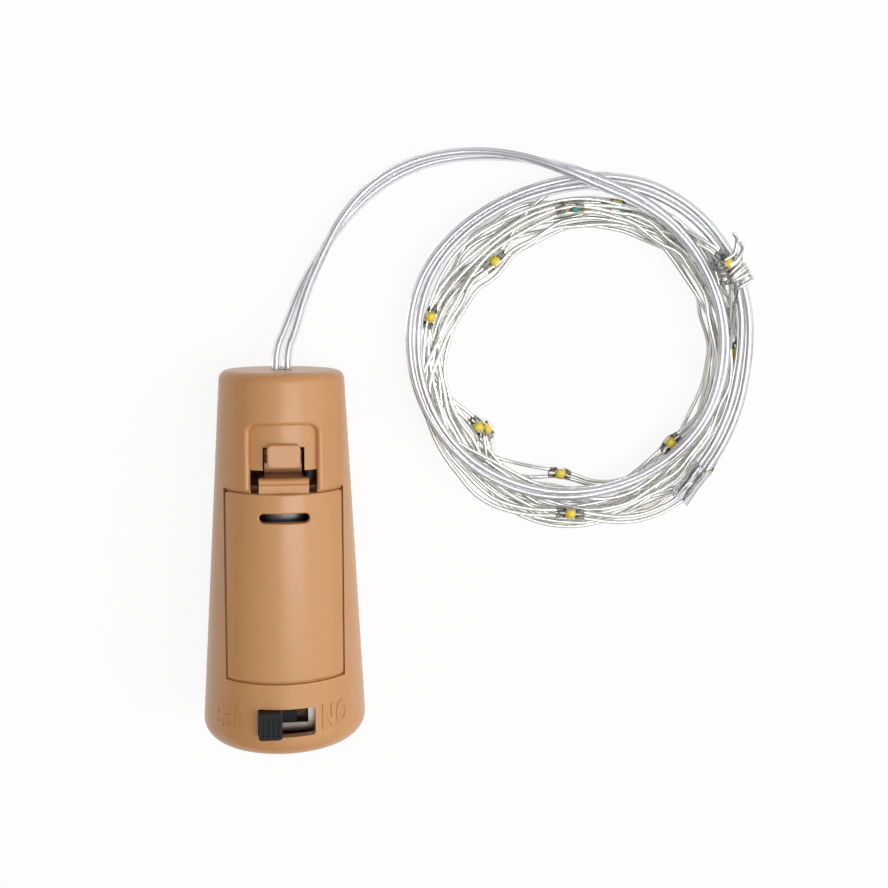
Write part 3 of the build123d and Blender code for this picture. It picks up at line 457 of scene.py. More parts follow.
@dataclass(frozen=True)
class Stopper:
    """The stopper's axes: x across, s along from the fat end, and h up from the axis."""

    fat_radius: float = 10.5
    small_radius: float = 7.75
    length: float = 47.0
    origin_y: float = -23.4324
    door_half_width: float = 7.05
    door_gap: float = 0.25
    latch_gap: float = 0.4
    door_start: float = 9.602
    door_end: float = 32.5
    recess_half_width: float = 4.0
    ledge_drop: float = 0.38
    ledge_thickness: float = 0.4
    ledge_tuck: float = 0.02
    ledge_steps: int = 16
    letter_height: float = 3.1
    letter_rise: float = 0.08
    letter_weight: float = 0.1
    letter_place: float = 4.9
    letter_steps: int = 6
    # The font's size as a share of a letter's height, and the bevel's as a share of its rise
    font_share: float = 1.35
    bevel_share: float = 0.4
    words: tuple[Letters, ...] = (
        (("O", -6.03, 0.95), ("F", -7.47, 1.08), ("F", -9.29, 1.16)),
        (("O", 7.46, 1.83), ("N", 5.31, 1.57)),
    )
    plain_nodes: tuple[tuple[Finish, tuple[str, ...]], ...] = (
        (TAN_ABS, ("front_shell", "rear_shell", "battery_door", "door_latch")),
        (BLACK_ABS, ("switch_knob",)),
        (NICKEL_SHEET, ("switch_frame", "spring_plate", "positive_plate")),
        # The switch's brass is darkened partly as painted shade.
        (BRASS_TARNISH_AND_SHADE, ("switch_contact", "switch_terminals")),
        (PHENOLIC, ("switch_base",)),
        (LAMINATE, ("circuit_board",)),
        (CERAMIC, ("resistor",)),
        # The cells and the spring get a steel grey darkened as painted shade.
        (CELL_STEEL_PAINTED_SHADE, tuple(f"cell_{part}_{n}" for part in ("can", "cap") for n in (1, 2, 3))),
        (CELL_STEEL_PAINTED_SHADE, ("negative_spring",)),
        (NYLON, ("cell_gasket_1", "cell_gasket_2", "cell_gasket_3")),
        # The inner leads' warm grey is painted shade.
        (LEAD_INSIDE_PAINTED_SHADE, ("inner_lead_a", "inner_lead_b")),
        (GLUE, ("lead_plug",)),
    )

    def inside(self, x: float, s: float, h: float) -> Vector:
        """A point of the stopper's own axes, in the part's frame."""
        taper = math.atan((self.fat_radius - self.small_radius) / self.length)
        way = Vector((0, math.cos(taper), -math.sin(taper)))
        up = Vector((0, math.sin(taper), math.cos(taper)))
        origin = Vector((0, self.origin_y, self.fat_radius * math.cos(taper)))
        return origin + Vector((x, 0, 0)) + way * s + up * h

    def outer_radius(self, s: float) -> float:
        """The cone's radius at s."""
        return self.fat_radius - (self.fat_radius - self.small_radius) * s / self.length

    def on_cone(self, x: float, s: float, rise: float) -> Vector:
        """A point that far round the cone from its top, and that far proud of it."""
        radius = self.outer_radius(s)
        angle = x / radius
        return self.inside((radius + rise) * math.sin(angle), s, (radius + rise) * math.cos(angle))

    def letter(self, bm: BMesh, text: str, middle: float, width: float) -> None:
        """Emboss a letter beside the switch, bent round the cone and read with the fat end up.

        Args:
            bm: the mesh that the letter is added to.
            text: the letter.
            middle: how far round the cone its middle stands.
            width: how far it reaches round the cone.
        """
        curve = bpy.data.curves.new("letter_" + text, "FONT")
        curve.body = text
        curve.size = self.letter_height * self.font_share
        curve.offset = self.letter_weight
        curve.extrude = self.letter_rise
        curve.bevel_depth = self.letter_rise * self.bevel_share
        curve.resolution_u = self.letter_steps
        holder = bpy.data.objects.new("letter_holder", curve)
        mesh = bpy.data.meshes.new_from_object(holder)
        bpy.data.objects.remove(holder)
        before = len(bm.verts)
        bm.from_mesh(mesh)
        bm.verts.ensure_lookup_table()
        verts = bm.verts[before:]
        low = [min(vert.co[axis] for vert in verts) for axis in (0, 1)]
        high = [max(vert.co[axis] for vert in verts) for axis in (0, 1)]
        for vert in verts:
            x, y = (
                (vert.co[axis] - low[axis]) / (high[axis] - low[axis]) - 0.5 for axis in (0, 1)
            )
            place = self.letter_place - y * self.letter_height
            vert.co = self.on_cone(middle - x * width, place, vert.co.z) * MM

    def word(self, letters: Letters) -> None:
        """Emboss a word, letter by letter."""
        bm = bmesh.new()
        for text, middle, width in letters:
            self.letter(bm, text, middle, width)
        bmesh.ops.triangulate(bm, faces=bm.faces)
        name = "word_" + "".join(text for text, _, _ in letters).lower()
        piece(name, bm, [TAN_ABS], "shell_plastic")

    def ledge(self) -> None:
        """Make the housing's shallow ledge that shows in the seam round the door."""
        bm = bmesh.new()
        tuck, start, end = self.ledge_tuck, self.door_start, self.door_end
        inner = self.door_half_width + tuck
        outer = self.door_half_width + self.door_gap + tuck
        near = self.recess_half_width
        low, high = start - self.door_gap - tuck, end + self.latch_gap + tuck
        shares = [index / self.ledge_steps for index in range(self.ledge_steps + 1)]
        alongs = [low + (high - low) * share for share in shares]
        runs = []
        for side in (-1, 1):
            runs.append([((side * inner, s), (side * outer, s)) for s in alongs])
            far = [side * (near + (outer - near) * share) for share in shares]
            runs.append([((x, end + tuck), (x, high)) for x in far])
        across = [outer * (2 * share - 1) for share in shares]
        runs.append([((x, low), (x, start - tuck)) for x in across])
        top, bottom = self.ledge_drop, self.ledge_drop + self.ledge_thickness
        for run in runs:
            rings = []
            for pair in run:
                places = [(x, s, self.outer_radius(s) - top) for x, s in pair]
                places += [(x, s, self.outer_radius(s) - bottom) for x, s in reversed(pair)]
                rings.append([
                    bm.verts.new(self.inside(x, s, math.sqrt(radius ** 2 - x ** 2)) * MM)
                    for x, s, radius in places
                ])
            add_skin(bm, rings)
        piece("door_ledge", bm, [TAN_ABS], "shell_plastic")

    def build(self) -> None:
        """Dress the stopper's CAD pieces, add the ledge and emboss the two words."""
        for finish, names in self.plain_nodes:
            for name in names:
                dress(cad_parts[name], finish)
                LOG.info("%s: %s", name, finish.name)
        self.ledge()
        for letters in self.words:
            self.word(letters)


@dataclass
class Sleeve:
    """The clear sleeve over the splice between the leads and the string."""

    middle: Vector = field(default_factory=lambda: Vector((55.674, 7.174, 4.8)))
    heading: float = -125.6
    length: float = 5.2
    width: float = 2.8
    thickness: float = 1.7
    wall: float = 0.28
    ring_steps: int = 28
    # How square the section's sides and its top are: below 1, squarer than an oval
    side_power: float = 0.55
    top_power: float = 0.7
    # How much of a flare goes up and down, and the waves in the top
    flare_rise: float = -0.5
    top_wave: Wave = Wave(0.06, 2.4, 1.7)
    # How far along each of its rings is, and how much wider than usual
    flares: tuple[Pair, ...] = (
        (-0.25, 0.16), (-0.15, 0.14), (0.2, 0.05), (0.9, 0.0), (1.8, -0.06), (2.6, -0.08),
        (3.4, -0.05), (4.3, 0.0), (5.0, 0.07), (5.35, 0.14), (5.45, 0.17),
    )
    joint_half_pitch: float = 0.53
    joint_radius: float = 0.36
    joint_sides: int = 12
    # A joint's thickness from end to end, as shares of its radius
    joint_shares: tuple[float, ...] = (
        0.6, 0.75, 1.0, 1.1, 0.85, 0.7, 0.95, 1.05, 0.8, 0.6, 0.55,
    )

    def __post_init__(self) -> None:
        """Work out the way to the string, the way across it, and where the two ends are."""
        angle = math.radians(self.heading)
        self.way = Vector((math.cos(angle), math.sin(angle), 0))
        self.right = self.way.cross(UP)
        self.entry = self.middle - self.way * (self.length / 2)
        self.exit = self.middle + self.way * (self.length / 2)

    def ring(self, bm: BMesh, along: float, inset: float, flare: float) -> list:
        """Add one ring of the flattened tube.

        Args:
            bm: the mesh being built.
            along: how far from the entry.
            inset: how far inside the outer surface.
            flare: how much wider than usual.

        Returns:
            The ring's vertices.
        """
        verts = []
        for step in range(self.ring_steps):
            angle = 2 * math.pi * step / self.ring_steps
            side = squared(math.cos(angle), self.side_power)
            rise = squared(math.sin(angle), self.top_power)
            across = (self.width / 2 - inset + flare) * side
            high = (self.thickness / 2 - inset + flare * self.flare_rise) * rise
            high += self.top_wave.at(along, side)
            place = self.entry + self.way * along + self.right * across + UP * high
            verts.append(bm.verts.new(place * MM))
        return verts

    def build(self) -> list[Object]:
        """Build the tube with its flared ends, and a lumpy spindle of solder for each joint."""
        tube, solder = bmesh.new(), bmesh.new()
        rings = [self.ring(tube, along, 0, flare) for along, flare in self.flares]
        for along, flare in reversed(self.flares):
            rings.append(self.ring(tube, along, self.wall, flare))
        add_skin(tube, rings, closed=True)
        step = self.length / (len(self.joint_shares) - 1)
        radii = [self.joint_radius * share for share in self.joint_shares]
        for side in (-1, 1):
            start = self.entry + self.right * (side * self.joint_half_pitch)
            points = [start + self.way * (step * index) for index in range(len(radii))]
            add_tube(solder, points, radii, self.joint_sides)
        return [
            piece("splice_tube", tube, [CLEAR_SLEEVE], "clear_sleeve", ["splice_sleeve"]),
            piece("splice_solder", solder, [SOLDER], "solder", ["splice_joints"]),
        ]


@dataclass
class Leads:
    """The two clear leads from the stopper to the sleeve, once and a half round on top."""

    stopper: Stopper
    sleeve: Sleeve
    radius: float = 0.55
    core_radius: float = 0.26
    half_pitch: float = 0.7
    exit_run: float = 2.5
    sleeve_run: float = 2.0
    sleeve_half_pitch: float = 0.65
    steps_per_place: int = 8
    # How far apart the middles of two leads that lie on each other stay, in radii
    stacked_pitch: float = 2.04
    lengths: Pair = (234.9, 248.2)
    # The pair's places: x, y, z and half the distance between the two as seen from above. Where
    # that is less than a lead is thick one lies on the other, and below 0 they are crossed over
    route: tuple[tuple[float, float, float, float], ...] = (
        (1.1, 28.3, 6.6, 0.63), (2.8, 33.2, 4.6, 0.385), (5.3, 37.9, 2.7, 0.07),
        (8.0, 42.1, 1.4, -0.28), (11.4, 45.8, 0.75, -0.442), (15.5, 48.5, 0.6, -0.462),
        (20.3, 50.2, 0.62, -0.363), (26.0, 50.8, 1.2, -0.272), (31.0, 50.3, 3.2, -0.068),
        (35.8, 49.0, 5.6, 0.272), (40.7, 47.2, 6.3, 0.476), (46.2, 45.1, 6.15, 0.408),
        (51.7, 41.6, 5.3, 0.33), (56.2, 36.4, 4.6, 0.3575), (58.9, 30.4, 4.5, 0.4225),
        (59.6, 24.2, 4.5, 0.4875), (58.4, 18.0, 4.5, 0.462), (55.2, 12.9, 4.5, 0.408),
        (49.9, 8.7, 4.5, 0.385), (43.6, 6.3, 4.5, 0.42), (36.6, 5.7, 4.5, 0.455),
        (29.6, 7.5, 4.5, 0.42), (23.7, 11.2, 4.5, 0.35), (19.6, 16.3, 4.5, 0.374),
        (17.3, 22.3, 4.5, 0.462), (16.9, 28.4, 4.5, 0.561), (18.0, 34.0, 4.5, 0.528),
        (20.6, 38.4, 4.5, 0.429), (24.6, 42.2, 4.5, 0.408), (29.9, 45.2, 4.5, 0.442),
        (36.5, 47.2, 4.5, 0.51), (42.7, 47.7, 4.5, 0.578), (48.9, 46.5, 4.5, 0.612),
        (55.0, 43.0, 4.5, 0.561), (59.8, 37.4, 4.5, 0.52), (62.2, 30.9, 4.5, 0.5525),
        (62.45, 24.2, 4.5, 0.6175), (61.6, 18.2, 4.55, 0.65), (60.0, 13.9, 4.7, 0.65),
    )

    def points(self, side: int) -> list[Vector]:
        """The control points of a lead, 1 on the right of the way out and -1 on its left."""
        far = self.stopper.length + self.exit_run
        reach = side * self.half_pitch
        last = self.sleeve.entry - self.sleeve.way * self.sleeve_run
        middles = [self.stopper.inside(0, far, 0)]
        middles += [Vector(row[:3]) for row in self.route] + [last]
        points = [
            self.stopper.inside(reach, self.stopper.length, 0),
            self.stopper.inside(reach, far, 0),
        ]
        pitch = self.stacked_pitch * self.radius
        for before, middle, after, row in zip(middles, middles[1:], middles[2:], self.route):
            aside = (after - before).cross(UP).normalized() * (side * row[3])
            lift = math.sqrt(max(0.0, pitch ** 2 - (2 * row[3]) ** 2)) if side == 1 else 0.0
            points.append(middle + aside + UP * lift)
        aside = self.sleeve.right * (side * self.sleeve_half_pitch)
        return points + [last + aside, self.sleeve.entry + aside]

    def build(self, joined: Sequence[Object]) -> None:
        """Build the two leads and their strands."""
        for letter, side, length in zip("ab", (1, -1), self.lengths):
            points, fine = self.points(side), self.steps_per_place
            lead = cord_piece(
                "clear_lead_" + letter, points, self.radius, CLEAR_PVC, "clear_insulation",
                ["lead_wire_" + letter], fine,
            )
            strands = cord_piece(
                "lead_core_" + letter, points, self.core_radius, TINNED_STRANDS, "silver_wire",
                fine=fine,
            )


@dataclass
class StringCoil:
    """The string of lights, two thin wires side by side wound as a ring of four loose layers."""

    sleeve: Sleeve
    ring_x: float = 40.4
    ring_y: float = 23.9
    mean_radius: float = 20.25
    radius: float = 0.275
    half_pitch: float = 0.41
    column_pitch: float = 1.64
    layer_pitch: float = 0.97
    lowest_layer: float = 0.36
    layer_count: int = 4
    layer_turns: float = 2.5
    climb_turns: float = 0.5
    settle_turns: float = 0.25
    turns: float = 10.25
    steps_per_turn: int = 48
    spread: float = 1.14
    spread_swing: float = 0.13
    sideways_wander: float = 0.3
    oval_wander: float = 0.1
    lengths: Pair = (1288.6, 1341.6)
    # Each light's turn, how far it is pulled outward and lifted, and how far it is rolled over
    lights: tuple[tuple[float, float, float, float], ...] = (
        (0.109, -2.76, 0.3, 10), (0.805, -0.9, 0.3, 130), (1.574, 0.74, 0.3, 160),
        (2.307, 3.44, 0.5, 75), (2.964, -1.88, 1.2, -15), (3.747, 2.0, 3.5, 20),
        (4.475, -3.36, 0.6, 30), (5.256, -5.65, 0.4, -20), (5.96, 3.55, 0.4, -25),
        (6.624, 1.53, 1.8, 150), (7.39, 3.25, 2.2, -10), (8.124, -2.96, 2.0, 10),
        (8.839, 0.89, 2.2, 15), (9.596, -1.81, 1.0, -10), (10.246, -7.02, 0.9, 15),
    )
    # Over how much of a turn a light pulls the string along, and keeps it from lying loosely
    pull_width: float = 0.055
    still_width: float = 0.03
    # How the string lies loosely between the lights: sideways, upward, and its wires apart
    sideways_waves: tuple[Wave, ...] = (Wave(0.42, 19.7, 0.5), Wave(0.28, 47.3, 1.0))
    upward_wave: Wave = Wave(0.2, 31.1, 0.8)
    apart_wave: Wave = Wave(0.12, 27.9)
    # The kinks in it: where their patches are, how far they go sideways and upward, and how far
    # inward they stay
    kink_patches: Wave = Wave(1.0, 8.3)
    kink_sideways: Wave = Wave(0.4, 103.7, 0.4)
    kink_upward: Wave = Wave(0.15, 88.1, 0.4)
    kink_inset: float = 0.24
    # How far right of the coil's middle a wire may lie, which keeps the coil in its solid's box
    right_reach: float = 22.8

    def __post_init__(self) -> None:
        """Work out where the winding starts."""
        start = self.sleeve.exit + self.sleeve.way * (2 * self.radius)
        self.start_angle = math.atan2(start.y - self.ring_y, start.x - self.ring_x)
        self.start_radius = math.hypot(start.y - self.ring_y, start.x - self.ring_x)
        self.climb_angle = self.start_angle - 2 * math.pi * self.layer_turns

    @staticmethod
    def eased(share: float) -> float:
        """A share of a step that starts and ends gently."""
        share = min(1.0, max(0.0, share))
        return share * share * (3 - 2 * share)

    def layers_down(self, turn: float) -> float:
        """How many layers below the top one the string lies."""
        climbs = range(1, self.layer_count)
        return sum(
            self.eased((turn - c * self.layer_turns) / self.climb_turns + 0.5) for c in climbs
        )

    def ring_radius(self, turn: float, angle: float) -> float:
        """The pair's distance from the coil's middle.

        Args:
            turn: turns from the sleeve.
            angle: the angle round the coil, in radians.

        Returns:
            The distance, with its layer's wander.
        """
        layer = min(int(turn / self.layer_turns), self.layer_count - 1)
        share = turn / self.layer_turns - layer
        inward = 1 - share if layer % 2 else share
        spread = self.spread - self.spread_swing * (math.cos(2 * angle) + math.sin(angle))
        wander = self.sideways_wander * math.sin(angle - self.climb_angle)
        wander += self.oval_wander * math.sin(2 * (angle - self.climb_angle))
        across = spread * self.column_pitch * self.layer_turns * (0.5 - inward)
        return self.mean_radius + across + wander * math.cos(math.pi * self.layers_down(turn))

    def place(self, turn: float, side: float) -> Vector:
        """Find the middle of a wire.

        Args:
            turn: turns from the sleeve.
            side: 1 for the inner wire, -1 for the outer and 0 between them.

        Returns:
            The place, with the string's pulls, waves and kinks.
        """
        angle = self.start_angle - 2 * math.pi * turn
        radius = self.ring_radius(turn, angle)
        begun = self.eased(turn / self.climb_turns)
        radius += (self.start_radius - self.ring_radius(0, self.start_angle)) * (1 - begun)
        top = self.lowest_layer + (self.layer_count - 1) * self.layer_pitch
        height = top - self.layer_pitch * self.layers_down(turn)
        height += (self.sleeve.middle.z - top) * (1 - self.eased(turn / self.settle_turns))
        near = 0.0
        for light, pull, lift, _ in self.lights:
            share = math.exp(-(((turn - light) / self.pull_width) ** 2))
            radius += pull * share
            height += lift * share
            near = max(near, math.exp(-(((turn - light) / self.still_width) ** 2)))
        loose = (1 - near) * begun
        kinked = loose * max(0.0, self.kink_patches.at(turn, side)) ** 2
        radius += loose * sum(wave.at(turn, side) for wave in self.sideways_waves)
        radius += kinked * (self.kink_sideways.at(turn, side) - self.kink_inset)
        radius -= side * (self.half_pitch + loose * self.apart_wave.at(turn, side))
        height += loose * (self.upward_wave.size + self.upward_wave.at(turn, side))
        height += kinked * (self.kink_upward.size + self.kink_upward.at(turn, side))
        return Vector((
            self.ring_x + min(radius * math.cos(angle), self.right_reach),
            self.ring_y + radius * math.sin(angle),
            height,
        ))

    def points(self, side: int) -> list[Vector]:
        """The control points of a wire, out of the sleeve and round the coil."""
        aside = self.sleeve.right * (side * self.half_pitch)
        start = self.sleeve.exit + aside
        count = int(self.turns * self.steps_per_turn)
        points = [start, start + self.sleeve.way * (2 * self.radius)]
        points += [self.place(step / self.steps_per_turn, side) for step in range(1, count + 1)]
        return points

    def build(self) -> None:
        """Build the two wires, the lights on them and the tie."""
        lights = Lights(self).build()
        ties = CoilTie(self).build()
        for letter, side, length in zip("ab", (1, -1), self.lengths):
            points = self.points(side)
            wire = cord_piece(
                "silvered_wire_" + letter, points, self.radius, SILVERED_WIRE, "silver_wire",
                ["string_wire_" + letter],
            )


@dataclass
class CoilTie:
    """The string's spare end, wound round the coil and its outer leads to hold them together."""

    coil: StringCoil
    angle: float = 33.0
    middle_radius: float = 23.1
    middle_height: float = 3.3
    half_width: float = 1.75
    half_height: float = 2.95
    wraps: float = 3.25
    pitch: float = 1.2
    half_pitch: float = 0.3
    # How square a wrap is: below 1, squarer than an oval
    wrap_power: float = 0.6
    wander_waves: tuple[Wave, ...] = (Wave(0.3, 1.7), Wave(0.3, 0.6, 1.0))
    steps_per_wrap: int = 16
    wire_radius: float = 0.25
    # The free end: how far out, along and up from the first wrap's outer side it goes, where the
    # first wrap starts, and how much shorter and higher one wire's end is than the pair's middle
    free_end: tuple[Triple, ...] = ((0.0, -1.7, 3.6), (0.2, -1.1, 3.4), (0.1, -0.5, 3.0))
    first_turn: float = 0.2
    end_shorter: float = 0.12
    end_rise: float = 0.2

    def place(self, turn: float, side: float) -> Vector:
        """The middle of the pair's wire on that side, that many wraps from the free end."""
        phase = 2 * math.pi * turn
        wide = squared(math.cos(phase), self.wrap_power)
        high = squared(math.sin(phase), self.wrap_power)
        slide = self.pitch * (turn - self.wraps / 2) + side * self.half_pitch
        slide += sum(wave.at(phase, side) for wave in self.wander_waves)
        return self.at(
            self.middle_radius + self.half_width * wide,
            slide,
            self.middle_height + self.half_height * high,
        )

    def at(self, radius: float, along: float, height: float) -> Vector:
        """A point that far from the coil's middle, along from the tie's middle, and up."""
        angle = math.radians(self.angle)
        out = Vector((math.cos(angle), math.sin(angle), 0))
        middle = Vector((self.coil.ring_x, self.coil.ring_y, height))
        return middle + out * radius + out.cross(UP) * along

    def build(self) -> list[Object]:
        """Build the tie's two wires, and give the two pieces."""
        ties = []
        for letter, side in zip("ab", (1, -1)):
            first = self.place(0, side) - self.at(0, 0, 0) + UP * (self.end_rise * side)
            points = [
                first + self.at(out, along * (1 - self.end_shorter * side), up)
                for out, along, up in self.free_end
            ]
            points += [
                self.place(self.first_turn + step / self.steps_per_wrap, side)
                for step in range(int(self.wraps * self.steps_per_wrap))
            ]
            ties.append(cord_piece(
                "coil_tie_" + letter, points, self.wire_radius, SILVERED_WIRE, "silver_wire",
            ))
        return ties


@dataclass
class Lights:
    """The lights on the string: chip, carrier, solder, stripped wire and resin drop."""

    coil: StringCoil
    drop_middle: Triple = (0.0, 0.0, 0.12)
    drop_size: Triple = (3.4, 1.8, 0.9)
    chip_size: Triple = (1.25, 1.15, 0.34)
    chip_sink: float = 0.04
    # How high over the wires' middle a light's seat is
    seat: float = 0.055
    # The carrier's rise over that seat, its depth below it and its ends past the chip
    carrier: Triple = (0.22, 0.1, 0.12)
    # A solder bead's place past the chip's end, in from its side and up, and its size
    bead_place: Triple = (0.2, 0.12, 0.1)
    bead_size: Triple = (0.5, 0.42, 0.5)
    # The stripped wire's run, from and to along the string, with its faces and its extra radius
    stripped: Pair = (0.75, 1.9)
    stripped_steps: int = 6
    stripped_sides: int = 10
    stripped_skin: float = 0.02
    # The lacquer dots: the turn of a light and how far along the string from it, in mm
    dots: tuple[Pair, ...] = (
        (1.574, 0.6), (6.624, 0.4), (2.307, 1.0), (0.805, 1.2),
    )
    dot_middle: Triple = (0.0, 0.1, 0.42)
    dot_size: Triple = (1.0, 0.8, 0.5)
    # How round a block's edges are, as a share of its least size, and how flat a blob is below
    # and how far it swells, as shares of its own size
    edge_share: float = 0.3
    flat_share: float = 0.62
    swell: float = 0.05
    # Half the stretch over which the string's way is measured at a light, in turns
    way_step: float = 0.004

    def axes(self, turn: float, roll: float = 0.0) -> Matrix:
        """Find a light's own axes.

        Args:
            turn: turns from the sleeve.
            roll: how far the light is rolled over about the string, in degrees.

        Returns:
            The directions along the string, across it and up, with its place.
        """
        before, after = (self.coil.place(turn + way * self.way_step, 0) for way in (-1, 1))
        way = (after - before).normalized()
        right = way.cross(UP).normalized()
        matrix = Matrix((way, right, right.cross(way))).transposed().to_4x4()
        matrix.translation = self.coil.place(turn, 0)
        return matrix @ Matrix.Rotation(math.radians(roll), 4, "X")

    def turn_at(self, turn: float, along: float) -> float:
        """The turn that lies a length along the string from another."""
        return turn + along / (2 * math.pi * self.coil.mean_radius)

    def block(self, bm: BMesh, axes: Matrix, low: Vector, high: Vector, index: int) -> None:
        """Add a block with rounded edges.

        Args:
            bm: the mesh being built.
            axes: the light's axes.
            low: its lowest corner in those axes.
            high: its highest corner.
            index: its material slot.
        """
        size = high - low
        made = bmesh.ops.create_cube(bm, size=1, matrix=Matrix.Diagonal((*size, 1)))
        edges = {edge for vert in made["verts"] for edge in vert.link_edges}
        reach = min(size) * self.edge_share
        result = bmesh.ops.bevel(bm, geom=list(edges), offset=reach, segments=2, affect="EDGES")
        place = axes @ Matrix.Translation((low + high) / 2)
        for vert in result["verts"]:
            vert.co = (place @ vert.co) * MM
        for face in result["faces"]:
            face.material_index = index

    def blob(self, bm: BMesh, axes: Matrix, middle: Triple, size: Triple, fine: int = 2) -> None:
        """Add a soft blob that is flatter below, and swells a little, each in its own way.

        Args:
            bm: the mesh being built.
            axes: the light's axes.
            middle: its middle in those axes.
            size: its whole size along them.
            fine: how often the sphere it starts from is divided.
        """
        made = bmesh.ops.create_icosphere(bm, subdivisions=fine, radius=0.5)
        for vert in made["verts"]:
            x, y, z = vert.co
            flat = z if z > 0 else z * self.flat_share
            swell = 1 + self.swell * math.sin(5 * x + 3 * y + 11 * middle[0])
            local = Vector((x * size[0] * swell, y * size[1] * swell, flat * size[2]))
            vert.co = (axes @ (Vector(middle) + local)) * MM

    def chip(self, bm: BMesh, axes: Matrix) -> None:
        """Add a light's carrier, and its chip of phosphor on top."""
        length, width, thickness = self.chip_size
        rise, drop, lip = self.carrier
        end, side, top = length / 2, width / 2, self.seat + rise
        low, high = Vector((-end - lip, -side, self.seat - drop)), Vector((end + lip, side, top))
        self.block(bm, axes, low, high, 1)
        low = Vector((-end, -side, top - self.chip_sink))
        self.block(bm, axes, low, Vector((end, side, top + thickness)), 0)

    def bead(self, bm: BMesh, axes: Matrix, side: int, end: int) -> None:
        """Add the solder bead at one of a chip's corners."""
        past, inward, up = self.bead_place
        length, width, _ = self.chip_size
        middle = (end * (length / 2 + past), side * (width / 2 - inward), self.seat + up)
        self.blob(bm, axes, middle, self.bead_size)

    def bare_wire(self, bm: BMesh, turn: float, side: int, end: int) -> None:
        """Add the stripped run of a wire on one side of a light, where the string goes on."""
        start, stop = self.stripped
        if self.turn_at(turn, end * stop) >= self.coil.turns:
            return
        points = []
        for step in range(self.stripped_steps + 1):
            along = start + (stop - start) * (step / self.stripped_steps)
            points.append(self.coil.place(self.turn_at(turn, end * along), side))
        radius = self.coil.radius + self.stripped_skin
        add_tube(bm, points, [radius] * len(points), self.stripped_sides)

    def build(self) -> list[Object]:
        """Build the lights, and give their pieces, each with one part of every light."""
        chips, solder, bare, drops, dots = (bmesh.new() for _ in range(5))
        for turn, _, _, roll in self.coil.lights:
            axes = self.axes(turn, roll)
            self.chip(chips, axes)
            for side in (-1, 1):
                for end in (-1, 1):
                    self.bead(solder, axes, side, end)
                    self.bare_wire(bare, turn, side, end)
            self.blob(drops, axes, self.drop_middle, self.drop_size, fine=3)
        for turn, along in self.dots:
            axes = self.axes(self.turn_at(turn, along))
            self.blob(dots, axes, self.dot_middle, self.dot_size)
        rows = (
            ("light_chips", chips, [PHOSPHOR, CARRIER], "yellow_phosphor", ["led_chips"]),
            ("light_solder", solder, [STAINED_SOLDER], "solder", []),
            ("stripped_wire", bare, [STRIPPED_WIRE], "silver_wire", []),
            ("resin_drops", drops, [RESIN], "clear_resin", ["led_beads"]),
            ("lacquer_dots", dots, [GREEN_LACQUER], "set_glue", []),
        )
        return [piece(*row) for row in rows]


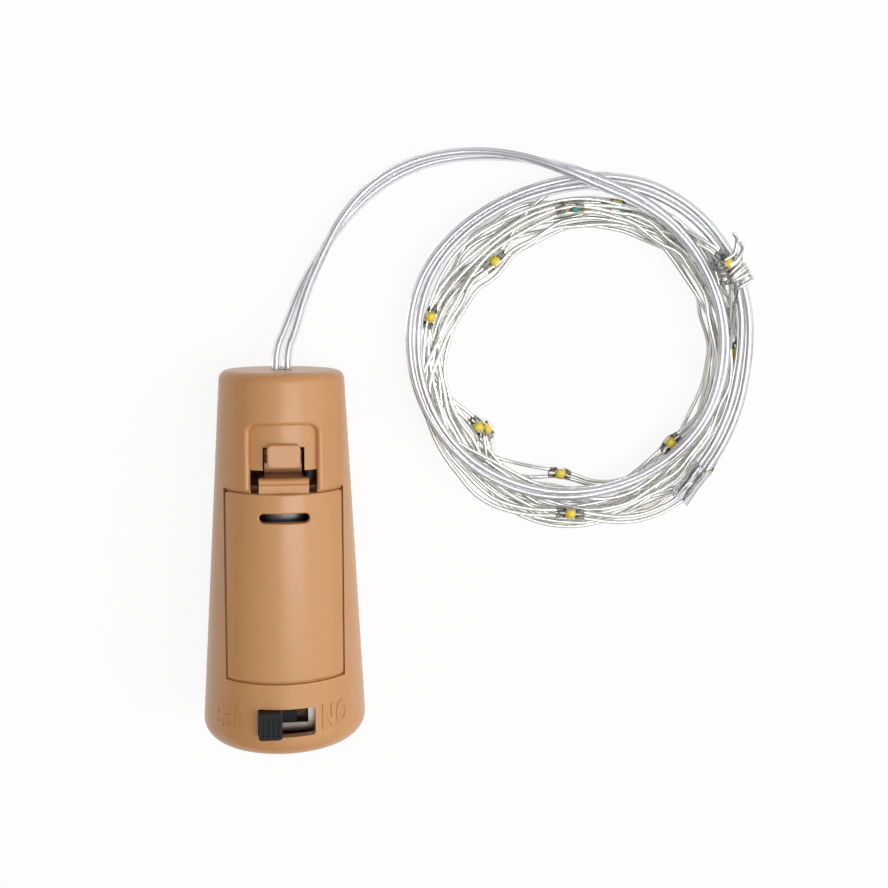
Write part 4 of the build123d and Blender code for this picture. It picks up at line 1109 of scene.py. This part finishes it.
@dataclass
class Studio:
    """The camera, the pale floor, the world and the lamps."""

    camera_place: Vector = field(default_factory=lambda: Vector((-2.216, 42.149, 154.841)))
    camera_target: Vector = field(default_factory=lambda: Vector((21.952, 12.18, 0)))
    camera_roll: float = -0.016
    lens: float = 47.40
    sensor_width: float = 36.0
    # What lies between these distances is seen, in metres
    clip: Pair = (0.005, 20.0)
    # The floor's half width, how far it lies below the part, its own shade, and how much of the
    # shadow on it shows
    floor_reach: float = 3000.0
    floor_drop: float = 0.02
    floor_colour: str = "FAFAFA"
    shadow_share: float = 0.1
    # The sky's strength, its shade away from its bright side, where that side is, and from where
    # on towards it the sky is white
    world_strength: float = 0.56
    sky_shade: str = "626264"
    sky_way: Triple = (0.5, 0.0, 0.8)
    sky_white_from: float = 0.75
    # Each lamp's name, its place, its width across and length along, and its power
    lamps: tuple[tuple[str, Triple, Pair, float], ...] = (
        ("key_lamp", (430.0, 60.0, 330.0), (420.0, 420.0), 0.62),
        ("strip_lamp", (135.0, 10.0, 520.0), (90.0, 330.0), 0.95),
        ("fill_lamp", (-330.0, 40.0, 380.0), (420.0, 420.0), 0.3),
    )

    def camera(self) -> None:
        """Make the camera, at the photograph's angle."""
        data = bpy.data.cameras.new("camera")
        data.lens = self.lens
        data.sensor_width = self.sensor_width
        data.clip_start, data.clip_end = self.clip
        camera = add_object("camera", data)
        back = (self.camera_place - self.camera_target).normalized()
        hint = Vector((math.sin(self.camera_roll), math.cos(self.camera_roll), 0))
        right = hint.cross(back).normalized()
        matrix = Matrix((right, back.cross(right), back)).transposed().to_4x4()
        matrix.translation = self.camera_place * MM
        camera.matrix_world = matrix
        bpy.context.scene.camera = camera

    def seen_directly(self, tree: NodeTree, share: float) -> NodeSocket:
        """Give the share for camera, glossy and transmission rays, and 0 for others."""
        rays = add_node(tree, "LightPath").outputs
        first = math_node(tree, "MAXIMUM", rays["Is Camera Ray"], rays["Is Glossy Ray"])
        both = math_node(tree, "MAXIMUM", first, rays["Is Transmission Ray"])
        return math_node(tree, "MULTIPLY", both, share)

    def floor(self) -> None:
        """Make the floor: white where it is seen, and pale where it takes the shadow."""
        material = bpy.data.materials.new("matt_white_paper")
        tree = cleared_tree(material)
        paper = add_node(tree, "BsdfDiffuse", {"Color": linear(self.floor_colour)}).outputs[0]
        white = add_node(tree, "Emission", {"Strength": 1.0}).outputs[0]
        seen = self.seen_directly(tree, 1 - self.shadow_share)
        mixed = add_node(tree, "MixShader", links={0: seen, 1: paper, 2: white})
        add_node(tree, "OutputMaterial", links={"Surface": mixed.outputs[0]})
        bm = bmesh.new()
        bmesh.ops.create_grid(bm, x_segments=2, y_segments=2, size=self.floor_reach * MM)
        mesh = finished(bm, "floor")
        mesh.materials.append(material)
        floor = add_object("floor", mesh)
        floor.location.z = -self.floor_drop * MM

    def world(self) -> None:
        """Make the world: a sky with a bright side, white where the camera sees it."""
        world = bpy.data.worlds.new("studio")
        bpy.context.scene.world = world
        tree = cleared_tree(world)
        way = add_node(tree, "TexCoord").outputs["Generated"]
        towards = {"operation": "DOT_PRODUCT", 1: self.sky_way}
        bright_side = add_node(tree, "VectorMath", towards, {0: way}).outputs["Value"]
        reach = {"From Min": 0.0, "From Max": self.sky_white_from}
        height = add_node(tree, "MapRange", reach, {"Value": bright_side}).outputs[0]
        sky = mixed_colour(tree, height, self.sky_shade, "FFFFFF")
        strength = math_node(tree, "MAXIMUM", self.seen_directly(tree, 1.0), self.world_strength)
        soft = add_node(tree, "Background", links={"Color": sky, "Strength": strength}).outputs[0]
        full = {"Color": linear("FFFFFF"), "Strength": 1.0}
        white = add_node(tree, "Background", full).outputs[0]
        seen = add_node(tree, "LightPath").outputs["Is Camera Ray"]
        mixed = add_node(tree, "MixShader", links={0: seen, 1: soft, 2: white})
        add_node(tree, "OutputWorld", links={"Surface": mixed.outputs[0]})

    def build(self) -> None:
        """Build the studio."""
        self.camera()
        self.floor()
        self.world()
        for name, place, size, power in self.lamps:
            data = bpy.data.lights.new(name, "AREA")
            data.shape = "RECTANGLE"
            data.size, data.size_y = (side * MM for side in size)
            data.energy = power
            lamp = add_object(name, data)
            spot = Vector(place) * MM
            turned = (spot - self.camera_target * MM).to_track_quat("Z", "Y")
            lamp.matrix_world = Matrix.Translation(spot) @ turned.to_matrix().to_4x4()
        bpy.context.scene.view_settings.view_transform = "Standard"


def main() -> None:
    """Build the studio and the part."""
    logging.basicConfig(level=logging.INFO, format="%(message)s")
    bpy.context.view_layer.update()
    Studio().build()
    stopper = Stopper()
    sleeve = Sleeve()
    Leads(stopper, sleeve).build(sleeve.build())
    StringCoil(sleeve).build()
    stopper.build()


if __name__ == "__main__":
    main()
